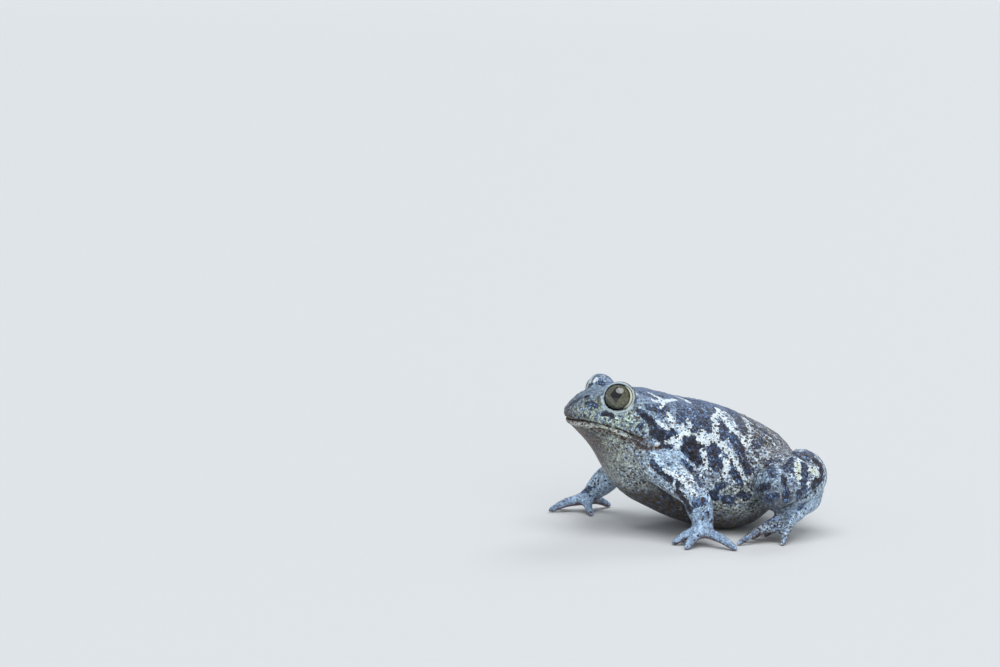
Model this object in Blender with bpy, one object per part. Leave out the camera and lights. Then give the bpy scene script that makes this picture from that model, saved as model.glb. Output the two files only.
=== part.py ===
# Syrian spadefoot toad (Pelobates syriacus), sitting with its head raised, at life size.
# The toad faces -Y, its left side is +X, and it sits on the plane Z = 0. All sizes below are in
# millimetres; meshes are scaled to metres at the end.
import math

import bpy
import numpy as np
from mathutils import Matrix, Vector

MM = 0.001
GAP = 0.3
# Points closer than this are merged, in metres
WELD_REACH = 0.000004

SNOUT_Y = -35.1
RUMP_Y = 29.4
BODY_RINGS = 84
BODY_SIDES = 56
# First and last ring of the body, as parts of the half turn that spaces them closer at both ends
RING_SPAN = (0.035, 0.965)
# Places of the rings in the half-round end of a limb, from its tip, as parts of a quarter turn
CAP_TURNS = (0.12, 0.45, 0.8)

# Midline of the back and head, from the snout to the rump: (y, z)
BACK_LINE = [
    (-35.1, 34.8), (-33.0, 35.7), (-29.5, 37.1), (-24.0, 38.1), (-17.0, 38.1), (-12.0, 37.6),
    (-5.0, 35.6), (3.0, 34.0), (9.5, 32.0), (16.5, 28.8), (22.0, 25.8), (26.0, 22.6), (29.4, 19.5),
]
# Midline of the chin, throat, chest and belly: (y, z)
BELLY_LINE = [
    (-35.1, 28.8), (-33.0, 27.5), (-30.0, 25.4), (-27.0, 22.0), (-24.8, 18.2), (-22.0, 13.2),
    (-18.0, 9.2), (-13.0, 6.4), (-6.0, 3.0), (2.0, 0.6), (8.5, -0.35), (14.0, 0.9), (19.0, 4.0),
    (24.0, 8.0), (29.4, 12.5),
]
# Half width of the body seen from above: (y, x)
HALF_WIDTH = [
    (-35.1, 7.0), (-33.0, 8.2), (-30.0, 9.9), (-26.0, 12.0), (-21.5, 13.8), (-17.0, 14.6),
    (-12.0, 15.4), (-5.0, 17.5), (3.0, 19.3), (10.0, 19.5), (16.0, 17.8), (21.0, 14.6), (29.4, 8.0),
]
# Height of the widest line: along the jaw on the head, low on the flank behind it: (y, z)
WIDEST_LINE = [
    (-35.1, 32.2), (-30.0, 31.3), (-25.0, 30.0), (-20.0, 28.0), (-14.0, 24.0), (-6.0, 18.5),
    (3.0, 15.5), (10.0, 14.2), (18.0, 14.5), (29.4, 16.0),
]
# Squareness of the section above and below the widest line (2 is an ellipse): (y, exponent)
TOP_SQUARENESS = [(-35.1, 2.2), (-28.0, 2.7), (-18.0, 2.5), (-8.0, 2.1), (10.0, 2.1), (29.4, 2.0)]
LOW_SQUARENESS = [(-35.1, 2.2), (-26.0, 2.1), (-16.0, 1.9), (0.0, 2.2), (10.0, 2.3), (29.4, 2.0)]
SNOUT_ROUND = 6.2
RUMP_ROUND = 5.0

EYE_CENTRE = (8.9, -22.9, 36.7)
EYE_GAZE = (0.86, -0.42, 0.28)
EYE_RADIUS = 3.85
EYE_BULGE = 4.45
# The opening between the lids widens outward: distances from the centre of the eye, and radii
OPENING_REACH = (1.0, 8.0)
OPENING_RADII = (3.3, 4.45)

# The line of the mouth, from the middle of the lips to its corner under the eye: (y, z)
MOUTH_LINE = [(-34.6, 30.6), (-33.0, 30.7), (-29.8, 30.1), (-26.2, 29.0), (-20.8, 27.2)]
# The groove between the lips, the swell of the lower and the upper lip: (rise, depth, width)
MOUTH_FORMS = [(0.0, 0.9, 0.65), (-1.4, -0.25, 0.7), (1.2, -0.15, 0.7)]
NOSTRIL = (-31.0, 35.9)
NOSTRIL_LENGTH = 0.6
NOSTRIL_DEPTH = 0.7
NOSTRIL_WIDTH = 0.55
# The fold that runs from below the mouth to above the arm: (y, z)
THROAT_FOLD = [(-26.6, 26.6), (-21.8, 25.0), (-17.0, 24.4), (-12.5, 24.8)]
FOLD_DEPTH = 0.35
FOLD_WIDTH = 0.9

# Joint centres and radii of the arms and legs. Left and right differ as the pose does.
ARMS = {
    "left": {
        "shoulder": (13.0, -14.5, 20.0), "elbow": (25.6, -7.4, 12.4), "wrist": (26.7, -5.6, 5.7),
        "palm": (27.4, -6.4, 4.0),
        "tips": [(20.4, -10.4, 0.6), (24.8, -13.2, 0.6), (32.2, -12.2, 0.6), (37.0, -0.6, 0.6)],
    },
    "right": {
        "shoulder": (-13.0, -14.5, 19.5), "elbow": (-25.2, -14.0, 11.2), "wrist": (-30.0, -18.4, 5.4),
        "palm": (-31.2, -20.2, 3.6),
        "tips": [(-22.8, -20.8, 0.6), (-32.2, -29.6, 0.6), (-36.4, -26.8, 0.6),
                 (-36.0, -11.6, 0.6)],
    },
}
SHOULDER_RADIUS = 5.0
UPPER_ARM_RADIUS = 4.1
ELBOW_RADIUS = 3.6
FOREARM_RADIUS = 3.5
WRIST_RADIUS = 2.6
PALM_SIZE = (3.5, 3.1, 1.6)
# The wrist runs this far up the forearm, and its radii there, at the wrist and in the palm
WRIST_SLEEVE = 2.0
WRIST_RADII = (2.8, 2.6, 1.9)
FINGER_RADII = (1.5, 1.35, 0.95)
# Where a finger leaves the middle of the palm, where it bends, and the rise of that bend
FINGER_ROOT = 1.4
FINGER_BEND = 0.58
FINGER_ARCH = 0.6

LEG = {
    "hip": (8.4, 20.6, 15.0), "knee": (27.0, 14.8, 13.6), "calf": (20.8, 22.8, 15.9),
    "heel": (14.6, 28.2, 12.9), "tarsus": (20.2, 26.3, 9.1), "foot_base": (25.6, 20.2, 7.6),
    "toe_tips": [(20.6, 13.6, 0.55), (22.8, 9.2, 0.55), (26.0, 5.4, 0.55), (30.0, 2.6, 0.55),
                 (33.2, 13.4, 0.55)],
}
HIP_RADIUS = 7.6
THIGH_RADIUS = 7.6
THIGH_ROOT = 0.7
KNEE_RADIUS = 5.9
SHANK_RADII = (5.9, 7.4, 4.0)
TARSUS_RADII = (4.0, 2.6, 2.0)
TOE_RADII = (1.6, 1.25, 0.85)
TOE_BEND = 0.5
TOE_ARCH = 0.9
SOLE_SIZE = (2.8, 2.6, 2.0)
SOLE_DROP = 0.8
WEB_THICKNESS = 0.7
# The web starts this far below the sole's middle and ends at these parts of the toes' length,
# and its free edge is bowed in to this part of that reach
WEB_DROP = 0.7
WEB_REACH = 0.72
WEB_BOW = 0.86
SPADE_LENGTH = 4.8
SPADE_HEIGHT = 2.6
SPADE_THICKNESS = 1.1
SPADE_PLACE = (-2.5, -1.6, -3.2)

# A slanted plane behind the jaw parts the head from the trunk: two points on it, (y, z)
NECK_TOP = (-9.5, 38.0)
NECK_LOW = (-25.4, 21.6)
# How far the limb nodes reach out round their limbs where they meet the trunk
LIMB_MARGIN = 0.9
JOINT_ROOM = 0.5

BODY_VOXEL = 0.32
FOOT_VOXEL = 0.34
SHANK_VOXEL = 0.6
BODY_TRIANGLES = 7200
# Round the mouth line and the nostrils, within this distance, more triangles are kept
FINE_REACH = 1.4
FINE_FACTOR = 1.0
HAND_TRIANGLES = 800
FOOT_TRIANGLES = 960
SHANK_TRIANGLES = 420
SHARP_ANGLE = 40

COLOURS = {
    "skin": ((0.33, 0.36, 0.38), 0.55), "limb": ((0.40, 0.45, 0.50), 0.5),
    "eye": ((0.05, 0.045, 0.02), 0.08), "spade": ((0.52, 0.40, 0.22), 0.35),
}


def clear_scene():
    for old in list(bpy.data.objects):
        bpy.data.objects.remove(old, do_unlink=True)


def material(slot):
    if slot in bpy.data.materials:
        return bpy.data.materials[slot]
    colour, roughness = COLOURS[slot]
    made = bpy.data.materials.new(slot)
    made.use_nodes = True
    shader = made.node_tree.nodes["Principled BSDF"]
    shader.inputs["Base Color"].default_value = (*colour, 1.0)
    shader.inputs["Roughness"].default_value = roughness
    shader.inputs["Metallic"].default_value = 0.0
    return made


def smooth_curve(knots, values, at):
    # Cubic through the values, with each slope taken from its neighbours
    knots, values, at = np.asarray(knots, float), np.asarray(values, float), np.asarray(at, float)
    steps = np.diff(knots)
    rises = np.diff(values, axis=0) / (steps[:, None] if values.ndim > 1 else steps)
    slopes = np.concatenate([rises[:1], (rises[:-1] + rises[1:]) / 2, rises[-1:]])
    cell = np.clip(np.searchsorted(knots, at) - 1, 0, len(steps) - 1)
    part = (at - knots[cell]) / steps[cell]
    width = steps[cell]
    if values.ndim > 1:
        part, width = part[:, None], width[:, None]
    return (
        (1 + 2 * part) * (1 - part) ** 2 * values[cell] + part * (1 - part) ** 2 * width * slopes[cell]
        + part ** 2 * (3 - 2 * part) * values[cell + 1] + part ** 2 * (part - 1) * width * slopes[cell + 1]
    )


def read_profile(points, at):
    return smooth_curve([p[0] for p in points], [p[1] for p in points], at)


def smooth_path(points, count):
    points = np.asarray(points, float)
    knots = np.concatenate([[0.0], np.cumsum(np.linalg.norm(np.diff(points[:, :3], axis=0), axis=1))])
    return smooth_curve(knots, points, np.linspace(0.0, knots[-1], count))


def new_object(name, vertices, faces):
    mesh = bpy.data.meshes.new(name)
    mesh.from_pydata([tuple(v) for v in vertices], [], faces)
    made = bpy.data.objects.new(name, mesh)
    bpy.context.scene.collection.objects.link(made)
    return made


def loft(name, rings, first, last):
    # Rings of equal count joined in order, and closed by one point at each end
    count = len(rings[0])
    vertices = [first] + [v for ring in rings for v in ring] + [last]
    faces = [(0, 1 + (k + 1) % count, 1 + k) for k in range(count)]
    for r in range(len(rings) - 1):
        a, b = 1 + r * count, 1 + (r + 1) * count
        faces += [(a + k, a + (k + 1) % count, b + (k + 1) % count, b + k) for k in range(count)]
    a, end = 1 + (len(rings) - 1) * count, len(vertices) - 1
    faces += [(a + k, a + (k + 1) % count, end) for k in range(count)]
    made = new_object(name, vertices, faces)
    if volume(made) < 0:
        made.data.flip_normals()
    return made


def volume(item):
    mesh = item.data
    mesh.calc_loop_triangles()
    points = np.empty(len(mesh.vertices) * 3)
    mesh.vertices.foreach_get("co", points)
    corners = np.empty(len(mesh.loop_triangles) * 3, np.int32)
    mesh.loop_triangles.foreach_get("vertices", corners)
    a, b, c = points.reshape(-1, 3)[corners.reshape(-1, 3)].transpose(1, 0, 2)
    return float(np.einsum("ij,ij->i", a, np.cross(b, c)).sum() / 6)


def tube(name, points, radii, sides=16, margin=0.0, rings=None):
    # A round limb along a smooth path, with half-round ends
    points = np.asarray(points, float)
    rings = rings or 6 * (len(points) - 1) + 1
    path = smooth_path(np.column_stack([points, radii]), rings)
    centres, sizes = path[:, :3], path[:, 3] + margin
    tangents = np.gradient(centres, axis=0)
    tangents /= np.linalg.norm(tangents, axis=1)[:, None]
    up = Vector((0.0, 0.0, 1.0))
    if abs(tangents[0][2]) > 0.9:
        up = Vector((1.0, 0.0, 0.0))
    caps = [(math.cos(t * math.pi / 2), math.sin(t * math.pi / 2)) for t in CAP_TURNS]
    stations = [(centres[0] - tangents[0] * back * sizes[0], tangents[0], size * sizes[0])
                for back, size in caps]
    stations += [(centres[k], tangents[k], sizes[k]) for k in range(rings)]
    stations += [(centres[-1] + tangents[-1] * ahead * sizes[-1], tangents[-1], size * sizes[-1])
                 for ahead, size in reversed(caps)]
    loops = []
    for centre, tangent, size in stations:
        tangent = Vector(tangent)
        side = tangent.cross(up).normalized()
        top = side.cross(tangent).normalized()
        up = top
        loops.append([
            Vector(centre) + side * size * math.cos(a) + top * size * math.sin(a)
            for a in (2 * math.pi * k / sides for k in range(sides))
        ])
    first = Vector(centres[0] - tangents[0] * sizes[0])
    last = Vector(centres[-1] + tangents[-1] * sizes[-1])
    return loft(name, loops, first, last)


def ellipsoid(name, centre, size, sides=24, along=None):
    # An ellipsoid; with along, its long axis X is turned to that direction
    rings, turned = sides // 2, Matrix.Identity(3)
    if along is not None:
        turned = Vector(along).to_track_quat("X", "Z").to_matrix()
    loops = []
    for r in range(1, rings):
        lat = math.pi * r / rings
        loops.append([
            Vector(centre) + turned @ Vector((size[0] * math.sin(lat) * math.cos(2 * math.pi * k / sides),
                                              size[1] * math.sin(lat) * math.sin(2 * math.pi * k / sides),
                                              size[2] * math.cos(lat)))
            for k in range(sides)
        ])
    pole = turned @ Vector((0.0, 0.0, size[2]))
    return loft(name, loops, Vector(centre) + pole, Vector(centre) - pole)


def block(name, centre, size, turned=None):
    corners = [Vector((x, y, z)) for z in (-0.5, 0.5) for y in (-0.5, 0.5) for x in (-0.5, 0.5)]
    turned = turned or Matrix.Identity(3)
    places = [Vector(centre) + turned @ Vector([c * s for c, s in zip(corner, size)]) for corner in corners]
    faces = [(0, 2, 3, 1), (4, 5, 7, 6), (0, 1, 5, 4), (2, 6, 7, 3), (0, 4, 6, 2), (1, 3, 7, 5)]
    return new_object(name, places, faces)


def half_space(name, point, normal, reach=60.0):
    # A large block whose one face lies on the plane and which fills the side the normal points to
    normal = Vector(normal).normalized()
    turned = normal.to_track_quat("Z", "Y").to_matrix()
    return block(name, Vector(point) + normal * reach, (2 * reach, 2 * reach, 2 * reach), turned)


def apply_modifiers(item):
    bpy.context.view_layer.update()
    evaluated = item.evaluated_get(bpy.context.evaluated_depsgraph_get())
    mesh = bpy.data.meshes.new_from_object(evaluated)
    item.modifiers.clear()
    old, item.data = item.data, mesh
    bpy.data.meshes.remove(old)
    return item


def boolean(item, other, operation, solver="EXACT", keep=False):
    cut = item.modifiers.new(operation, "BOOLEAN")
    cut.object = other
    cut.operation = operation
    cut.solver = solver
    apply_modifiers(item)
    if not keep:
        bpy.data.objects.remove(other, do_unlink=True)
    return item


def union(name, items):
    group = bpy.data.collections.new(name)
    first, rest = items[0], items[1:]
    for item in rest:
        group.objects.link(item)
    join = first.modifiers.new("union", "BOOLEAN")
    join.operand_type = "COLLECTION"
    join.collection = group
    join.operation = "UNION"
    join.solver = "EXACT"
    apply_modifiers(first)
    for item in rest:
        bpy.data.objects.remove(item, do_unlink=True)
    bpy.data.collections.remove(group)
    first.name = name
    return first


def knit(item, voxel, passes):
    # Fuses creases into soft flesh: an even grid over the surface, then smoothing
    remesh = item.modifiers.new("knit", "REMESH")
    remesh.mode = "VOXEL"
    remesh.voxel_size = voxel
    remesh.adaptivity = 0.0
    return soften(item, passes)


def soften(item, passes):
    smooth = item.modifiers.new("soften", "SMOOTH")
    smooth.factor = 0.5
    smooth.iterations = passes
    return apply_modifiers(item)


def thin_out(item, triangles, fine=None):
    # Fewer triangles, kept closer together where the weights in fine are low
    item.data.calc_loop_triangles()
    fewer = item.modifiers.new("thin", "DECIMATE")
    fewer.ratio = min(1.0, triangles / len(item.data.loop_triangles))
    fewer.use_collapse_triangulate = True
    if fine is not None:
        group = item.vertex_groups.new(name="thin")
        for weight in np.unique(fine):
            group.add([int(k) for k in np.nonzero(fine == weight)[0]], float(weight), "REPLACE")
        fewer.vertex_group = group.name
        fewer.vertex_group_factor = FINE_FACTOR
    return apply_modifiers(item)


def largest_piece(item):
    # Keeps only the closed surface with the most vertices
    mesh = item.data
    count = len(mesh.vertices)
    edges = np.empty(len(mesh.edges) * 2, np.int32)
    mesh.edges.foreach_get("vertices", edges)
    edges = edges.reshape(-1, 2)
    group = np.arange(count)
    while True:
        low = np.minimum(group[edges[:, 0]], group[edges[:, 1]])
        new = group.copy()
        np.minimum.at(new, edges[:, 0], low)
        np.minimum.at(new, edges[:, 1], low)
        new = new[new]
        if np.array_equal(new, group):
            break
        group = new
    names, sizes = np.unique(group, return_counts=True)
    if len(names) == 1:
        return item
    kept = group == names[np.argmax(sizes)]
    place = np.cumsum(kept) - 1
    vertices = [v.co.copy() for v in mesh.vertices if kept[v.index]]
    faces = [[int(place[i]) for i in f.vertices] for f in mesh.polygons if kept[f.vertices[0]]]
    fresh = bpy.data.meshes.new(item.name)
    fresh.from_pydata(vertices, [], faces)
    item.data = fresh
    bpy.data.meshes.remove(mesh)
    return item


def read_points(item):
    points = np.empty(len(item.data.vertices) * 3)
    item.data.vertices.foreach_get("co", points)
    return points.reshape(-1, 3)


def distance_to(points, line):
    line = smooth_path(line, 80)
    best = np.full(len(points), 1e9)
    for a, d in zip(line[:-1], np.diff(line, axis=0)):
        t = np.clip(((points - a) @ d) / (d @ d), 0.0, 1.0)
        best = np.minimum(best, np.linalg.norm(points - (a + t[:, None] * d), axis=1))
    return best


def press(item, line, depth, width):
    # Moves the surface near a line inward, or outward with a negative depth
    line = [item.closest_point_on_mesh(Vector(p))[1] for p in smooth_path(line, 60)]
    points = read_points(item)
    normals = np.array([v.normal for v in item.data.vertices])
    points -= normals * (depth * np.exp(-(distance_to(points, line) / width) ** 2))[:, None]
    item.data.vertices.foreach_set("co", points.ravel())
    item.data.update()


def mirrored(point, side):
    return (point[0] * side, point[1], point[2])


def flipped(points):
    return [mirrored(p, -1) for p in reversed(points)]


def section(y):
    # The upright section at y: level and half width of its widest line, height and exponent of
    # its upper and lower half
    front, rear = min(1.0, (y - SNOUT_Y) / SNOUT_ROUND), min(1.0, (RUMP_Y - y) / RUMP_ROUND)
    round_off = math.sqrt(front * (2 - front) * rear * (2 - rear))
    top, low, wide, level, over, under = (
        float(read_profile(line, [y])[0])
        for line in (BACK_LINE, BELLY_LINE, HALF_WIDTH, WIDEST_LINE, TOP_SQUARENESS, LOW_SQUARENESS))
    upper, lower = ((top - level) * round_off, over), ((level - low) * round_off, under)
    return level, wide * round_off, upper, lower


def on_side(y, z, sign):
    # The point of the body's left or right side at y and z
    level, wide, upper, lower = section(y)
    height, power = upper if z > level else lower
    part = min(1.0, abs(z - level) / height)
    return (sign * wide * (1 - part ** power) ** (1 / power), y, z)


def mouth_line(rise):
    # From the left corner round the snout to the right corner, raised by rise
    left = [on_side(y, z + rise, 1) for y, z in reversed(MOUTH_LINE)]
    return left + [(0.0, SNOUT_Y, MOUTH_LINE[0][1] + rise)] + flipped(left)


def body_form():
    # Head and trunk as one loft of upright sections
    turns = (1 - np.cos(np.linspace(*RING_SPAN, BODY_RINGS) * math.pi)) / 2
    rings = []
    for y in SNOUT_Y + (RUMP_Y - SNOUT_Y) * turns:
        level, wide, upper, lower = section(y)
        ring = []
        for step in range(BODY_SIDES):
            angle = 2 * math.pi * step / BODY_SIDES
            c, s = math.cos(angle), math.sin(angle)
            height, power = upper if s > 0 else lower
            x = math.copysign(abs(c) ** (2 / power), c) * wide
            z = math.copysign(abs(s) ** (2 / power), s) * height
            ring.append(Vector((x, y, level + z)))
        rings.append(ring)
    first = Vector((0.0, SNOUT_Y, WIDEST_LINE[0][1]))
    last = Vector((0.0, RUMP_Y, WIDEST_LINE[-1][1]))
    return loft("body", rings, first, last)


def arm_line(side):
    arm = ARMS[side]
    shoulder, elbow, wrist = (np.array(arm[k]) for k in ("shoulder", "elbow", "wrist"))
    points = [shoulder, (shoulder + elbow) / 2, elbow, (elbow + wrist) / 2, wrist]
    radii = [SHOULDER_RADIUS, UPPER_ARM_RADIUS, ELBOW_RADIUS, FOREARM_RADIUS, WRIST_RADIUS]
    return points, radii


def thigh_line(sign):
    hip, knee = np.array(mirrored(LEG["hip"], sign)), np.array(mirrored(LEG["knee"], sign))
    return [hip, (hip + knee) / 2, knee], [HIP_RADIUS, THIGH_RADIUS, KNEE_RADIUS]


def thigh_root(sign):
    # The length of the thigh that stands out of the trunk
    (hip, middle, knee), radii = thigh_line(sign)
    start = hip + (middle - hip) * THIGH_ROOT
    return [start, (start + knee) / 2, knee], [THIGH_RADIUS + GAP, *radii[1:]]


def limb_region(points, radii, margin):
    return tube("region", points, radii, sides=18, margin=margin, rings=9)


def make_flesh():
    # The body with the eye bulges, arms and thighs grown into it, before it is parted
    parts = [body_form()]
    for side, sign in (("left", 1), ("right", -1)):
        parts.append(ellipsoid("bulge", mirrored(EYE_CENTRE, sign), (EYE_BULGE,) * 3))
        points, radii = arm_line(side)
        parts.append(tube("arm", points, radii, sides=20))
        parts.append(tube("thigh", *thigh_line(sign), sides=24))
    flesh = knit(union("flesh", parts), BODY_VOXEL, 20)
    for rise, depth, width in MOUTH_FORMS:
        press(flesh, mouth_line(rise), depth, width)
    y, z = NOSTRIL
    for sign in (1, -1):
        press(flesh, [on_side(*place, sign) for place in THROAT_FOLD], FOLD_DEPTH, FOLD_WIDTH)
        press(flesh, [on_side(y, z, sign), on_side(y + NOSTRIL_LENGTH, z, sign)],
              NOSTRIL_DEPTH, NOSTRIL_WIDTH)
    soften(flesh, 3)
    points = read_points(flesh)
    near = distance_to(points, mouth_line(0.0)) < FINE_REACH
    for sign in (1, -1):
        near |= np.linalg.norm(points - np.array(on_side(y, z, sign)), axis=1) < FINE_REACH
    return thin_out(flesh, BODY_TRIANGLES, np.where(near, 0.0, 1.0))


def cut_eye_sockets(flesh):
    for sign in (1, -1):
        centre, gaze = Vector(mirrored(EYE_CENTRE, sign)), Vector(mirrored(EYE_GAZE, sign)).normalized()
        boolean(flesh, ellipsoid("socket", centre, (EYE_RADIUS + GAP,) * 3, sides=20), "DIFFERENCE")
        ends = [centre + gaze * reach for reach in OPENING_REACH]
        opening = tube("opening", ends, OPENING_RADII, sides=24, rings=2)
        boolean(flesh, opening, "DIFFERENCE")


def copy_of(item, name):
    made = bpy.data.objects.new(name, item.data.copy())
    bpy.context.scene.collection.objects.link(made)
    return made


def keep_side(item, point, normal):
    # Keeps what lies on the side the normal points to, half a gap clear of the plane
    normal = Vector(normal).normalized()
    return boolean(item, half_space("side", Vector(point) + normal * GAP / 2, normal), "INTERSECT")


def neck_plane():
    middle = ((NECK_TOP[0] + NECK_LOW[0]) / 2, (NECK_TOP[1] + NECK_LOW[1]) / 2)
    rise, run = NECK_TOP[1] - NECK_LOW[1], NECK_TOP[0] - NECK_LOW[0]
    return (0.0, middle[0], middle[1]), (0.0, -rise, run)


def part_flesh(flesh):
    # Parts the flesh into head, torso, upper arms, forearms and thighs
    nodes = {}
    for side, sign in (("left", 1), ("right", -1)):
        points, radii = arm_line(side)
        arm = boolean(copy_of(flesh, "arm"), limb_region(points, radii, LIMB_MARGIN), "INTERSECT")
        elbow, wrist = Vector(points[2]), Vector(points[4])
        elbow_axis = (Vector(points[3]) - Vector(points[1])).normalized()
        wrist_axis = (wrist - Vector(points[3])).normalized()
        upper = copy_of(arm, f"upper_arm_{side}")
        nodes[upper.name] = keep_side(upper, elbow, -elbow_axis)
        arm.name = f"forearm_{side}"
        keep_side(arm, elbow, elbow_axis)
        nodes[arm.name] = keep_side(arm, wrist, -wrist_axis)
        thigh = copy_of(flesh, f"thigh_{side}")
        nodes[thigh.name] = boolean(thigh, limb_region(*thigh_root(sign), LIMB_MARGIN), "INTERSECT")
    for side, sign in (("left", 1), ("right", -1)):
        boolean(flesh, limb_region(*arm_line(side), LIMB_MARGIN + GAP), "DIFFERENCE")
        boolean(flesh, limb_region(*thigh_root(sign), LIMB_MARGIN + GAP), "DIFFERENCE")
    point, forward = neck_plane()
    nodes["head"] = keep_side(copy_of(flesh, "head"), point, forward)
    flesh.name = "torso"
    nodes["torso"] = keep_side(flesh, point, -Vector(forward))
    return nodes


def make_hand(side):
    arm = ARMS[side]
    elbow, wrist, palm = (Vector(arm[k]) for k in ("elbow", "wrist", "palm"))
    middle = (Vector(arm["tips"][1]) + Vector(arm["tips"][2])) / 2 - palm
    across = Vector((-middle.y, middle.x, 0.0)).normalized()
    parts = [
        ellipsoid("palm", palm, PALM_SIZE, along=(across.x, across.y, 0.0)),
        tube("wrist", [wrist + (elbow - wrist).normalized() * WRIST_SLEEVE, wrist, palm],
             WRIST_RADII, sides=16),
    ]
    for tip in arm["tips"]:
        tip = Vector(tip)
        root = palm + (tip - palm).normalized() * FINGER_ROOT
        bend = palm.lerp(tip, FINGER_BEND) + Vector((0.0, 0.0, FINGER_ARCH))
        parts.append(tube("finger", [root, bend, tip], FINGER_RADII, sides=10))
    hand = knit(union(f"hand_{side}", parts), FOOT_VOXEL, 4)
    hand = thin_out(hand, HAND_TRIANGLES)
    return keep_side(hand, wrist, (wrist - (elbow + wrist) / 2))


def shank_line(sign):
    return [mirrored(LEG[k], sign) for k in ("knee", "calf", "heel")], SHANK_RADII


def tarsus_line(sign):
    return [mirrored(LEG[k], sign) for k in ("heel", "tarsus", "foot_base")], TARSUS_RADII


def make_shank(side, sign):
    shank = tube(f"shank_{side}", *shank_line(sign), sides=24)
    return thin_out(knit(shank, SHANK_VOXEL, 3), SHANK_TRIANGLES)


def web_between(base, first, second):
    # A thin sheet between two toes, bowed in at its free edge
    ends = [base + (tip - base) * WEB_REACH for tip in (first, second)]
    middle = base.lerp((ends[0] + ends[1]) / 2, WEB_BOW)
    drop = Vector((0.0, 0.0, WEB_THICKNESS / 2))
    outline = [base, ends[0], middle, ends[1]]
    vertices = [p - drop for p in outline] + [p + drop for p in outline]
    faces = [(0, 1, 2), (0, 2, 3), (4, 6, 5), (4, 7, 6)]
    faces += [(k, 4 + k, 4 + (k + 1) % 4, (k + 1) % 4) for k in range(4)]
    sheet = new_object("web", vertices, faces)
    if volume(sheet) < 0:
        sheet.data.flip_normals()
    return sheet


def sole_form(sign, margin=0.0):
    base = Vector(mirrored(LEG["foot_base"], sign))
    along = Vector(mirrored(LEG["toe_tips"][3], sign)) - base
    size = [half + margin for half in SOLE_SIZE]
    return ellipsoid("sole", base - Vector((0.0, 0.0, SOLE_DROP)), size, sides=16, along=along)


def make_foot(side, sign):
    base = Vector(mirrored(LEG["foot_base"], sign))
    tips = [Vector(mirrored(t, sign)) for t in LEG["toe_tips"]]
    parts = [tube("tarsus", *tarsus_line(sign), sides=16)]
    sole = base - Vector((0.0, 0.0, SOLE_DROP))
    parts.append(sole_form(sign))
    for tip in tips:
        bend = sole.lerp(tip, TOE_BEND) + Vector((0.0, 0.0, TOE_ARCH))
        parts.append(tube("toe", [sole, bend, tip], TOE_RADII, sides=10))
    for first, second in zip(tips[:-1], tips[1:]):
        parts.append(web_between(sole - Vector((0.0, 0.0, WEB_DROP)), first, second))
    foot = knit(union(f"foot_{side}", parts), FOOT_VOXEL, 3)
    return thin_out(foot, FOOT_TRIANGLES)


def spade_form(name, sign, margin=0.0):
    # The digging spade, a blade half sunk in the inner edge of the foot
    base, tip = Vector(mirrored(LEG["foot_base"], sign)), Vector(mirrored(LEG["toe_tips"][0], sign))
    along = (tip - base).normalized()
    centre = base + Vector(mirrored(SPADE_PLACE, sign))
    size = (SPADE_LENGTH / 2 + margin, SPADE_THICKNESS / 2 + margin, SPADE_HEIGHT / 2 + margin)
    return ellipsoid(name, centre, size, sides=12, along=along)


def part_leg(nodes, side, sign):
    # Parts thigh and shank by the plane that halves the bend at the knee, and makes room for the
    # foot, which starts at the plane that halves the bend at the heel
    shank, foot = make_shank(side, sign), make_foot(side, sign)
    thigh = nodes[f"thigh_{side}"]
    hip, knee, calf, heel, tarsus = (
        Vector(mirrored(LEG[k], sign)) for k in ("hip", "knee", "calf", "heel", "tarsus"))
    split = ((heel - knee).normalized() - (hip - knee).normalized()).normalized()
    keep_side(shank, knee, split)
    keep_side(thigh, knee, -split)
    split = ((tarsus - heel).normalized() - (calf - heel).normalized()).normalized()
    keep_side(foot, heel, split)
    for item in (shank, thigh, nodes["torso"]):
        room = union("room", [limb_region(*tarsus_line(sign), JOINT_ROOM), sole_form(sign, JOINT_ROOM)])
        boolean(item, keep_side(room, heel - split * GAP, split), "DIFFERENCE")
    trim(nodes["torso"], *shank_line(sign), JOINT_ROOM)
    nodes[shank.name], nodes[foot.name] = shank, foot


def trim(item, points, radii, margin):
    boolean(item, limb_region(points, radii, margin), "DIFFERENCE")


def rest_on_floor(item):
    # Cuts the item off at the floor, which leaves small flats where it stands
    return boolean(item, half_space("floor", (0.0, 0.0, 0.0), (0.0, 0.0, 1.0), 80.0), "INTERSECT")


def finish(item, slot):
    largest_piece(item)
    item.data.transform(Matrix.Scale(MM, 4))
    tidy = item.modifiers.new("tidy", "WELD")
    tidy.merge_threshold = WELD_REACH
    apply_modifiers(item)
    item.data.materials.clear()
    item.data.materials.append(material(slot))
    item.data.shade_smooth()
    item.data.set_sharp_from_angle(angle=math.radians(SHARP_ANGLE))
    item.data.name = item.name


def main():
    clear_scene()
    flesh = make_flesh()
    cut_eye_sockets(flesh)
    nodes = part_flesh(flesh)
    for side, sign in (("left", 1), ("right", -1)):
        part_leg(nodes, side, sign)
        hand = make_hand(side)
        nodes[hand.name] = hand
        nodes[f"spade_{side}"] = spade_form(f"spade_{side}", sign)
        boolean(nodes[f"foot_{side}"], spade_form("room", sign, GAP), "DIFFERENCE")
        eye = ellipsoid(f"eye_{side}", mirrored(EYE_CENTRE, sign), (EYE_RADIUS,) * 3, sides=18)
        nodes[eye.name] = eye
    for name, item in nodes.items():
        if not name.startswith("eye"):
            rest_on_floor(item)
        slot = "eye" if name.startswith("eye") else "spade" if name.startswith("spade") else "skin"
        if name.split("_")[0] in ("hand", "foot", "forearm"):
            slot = "limb"
        finish(item, slot)
    centre_on_origin(nodes.values())


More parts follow.
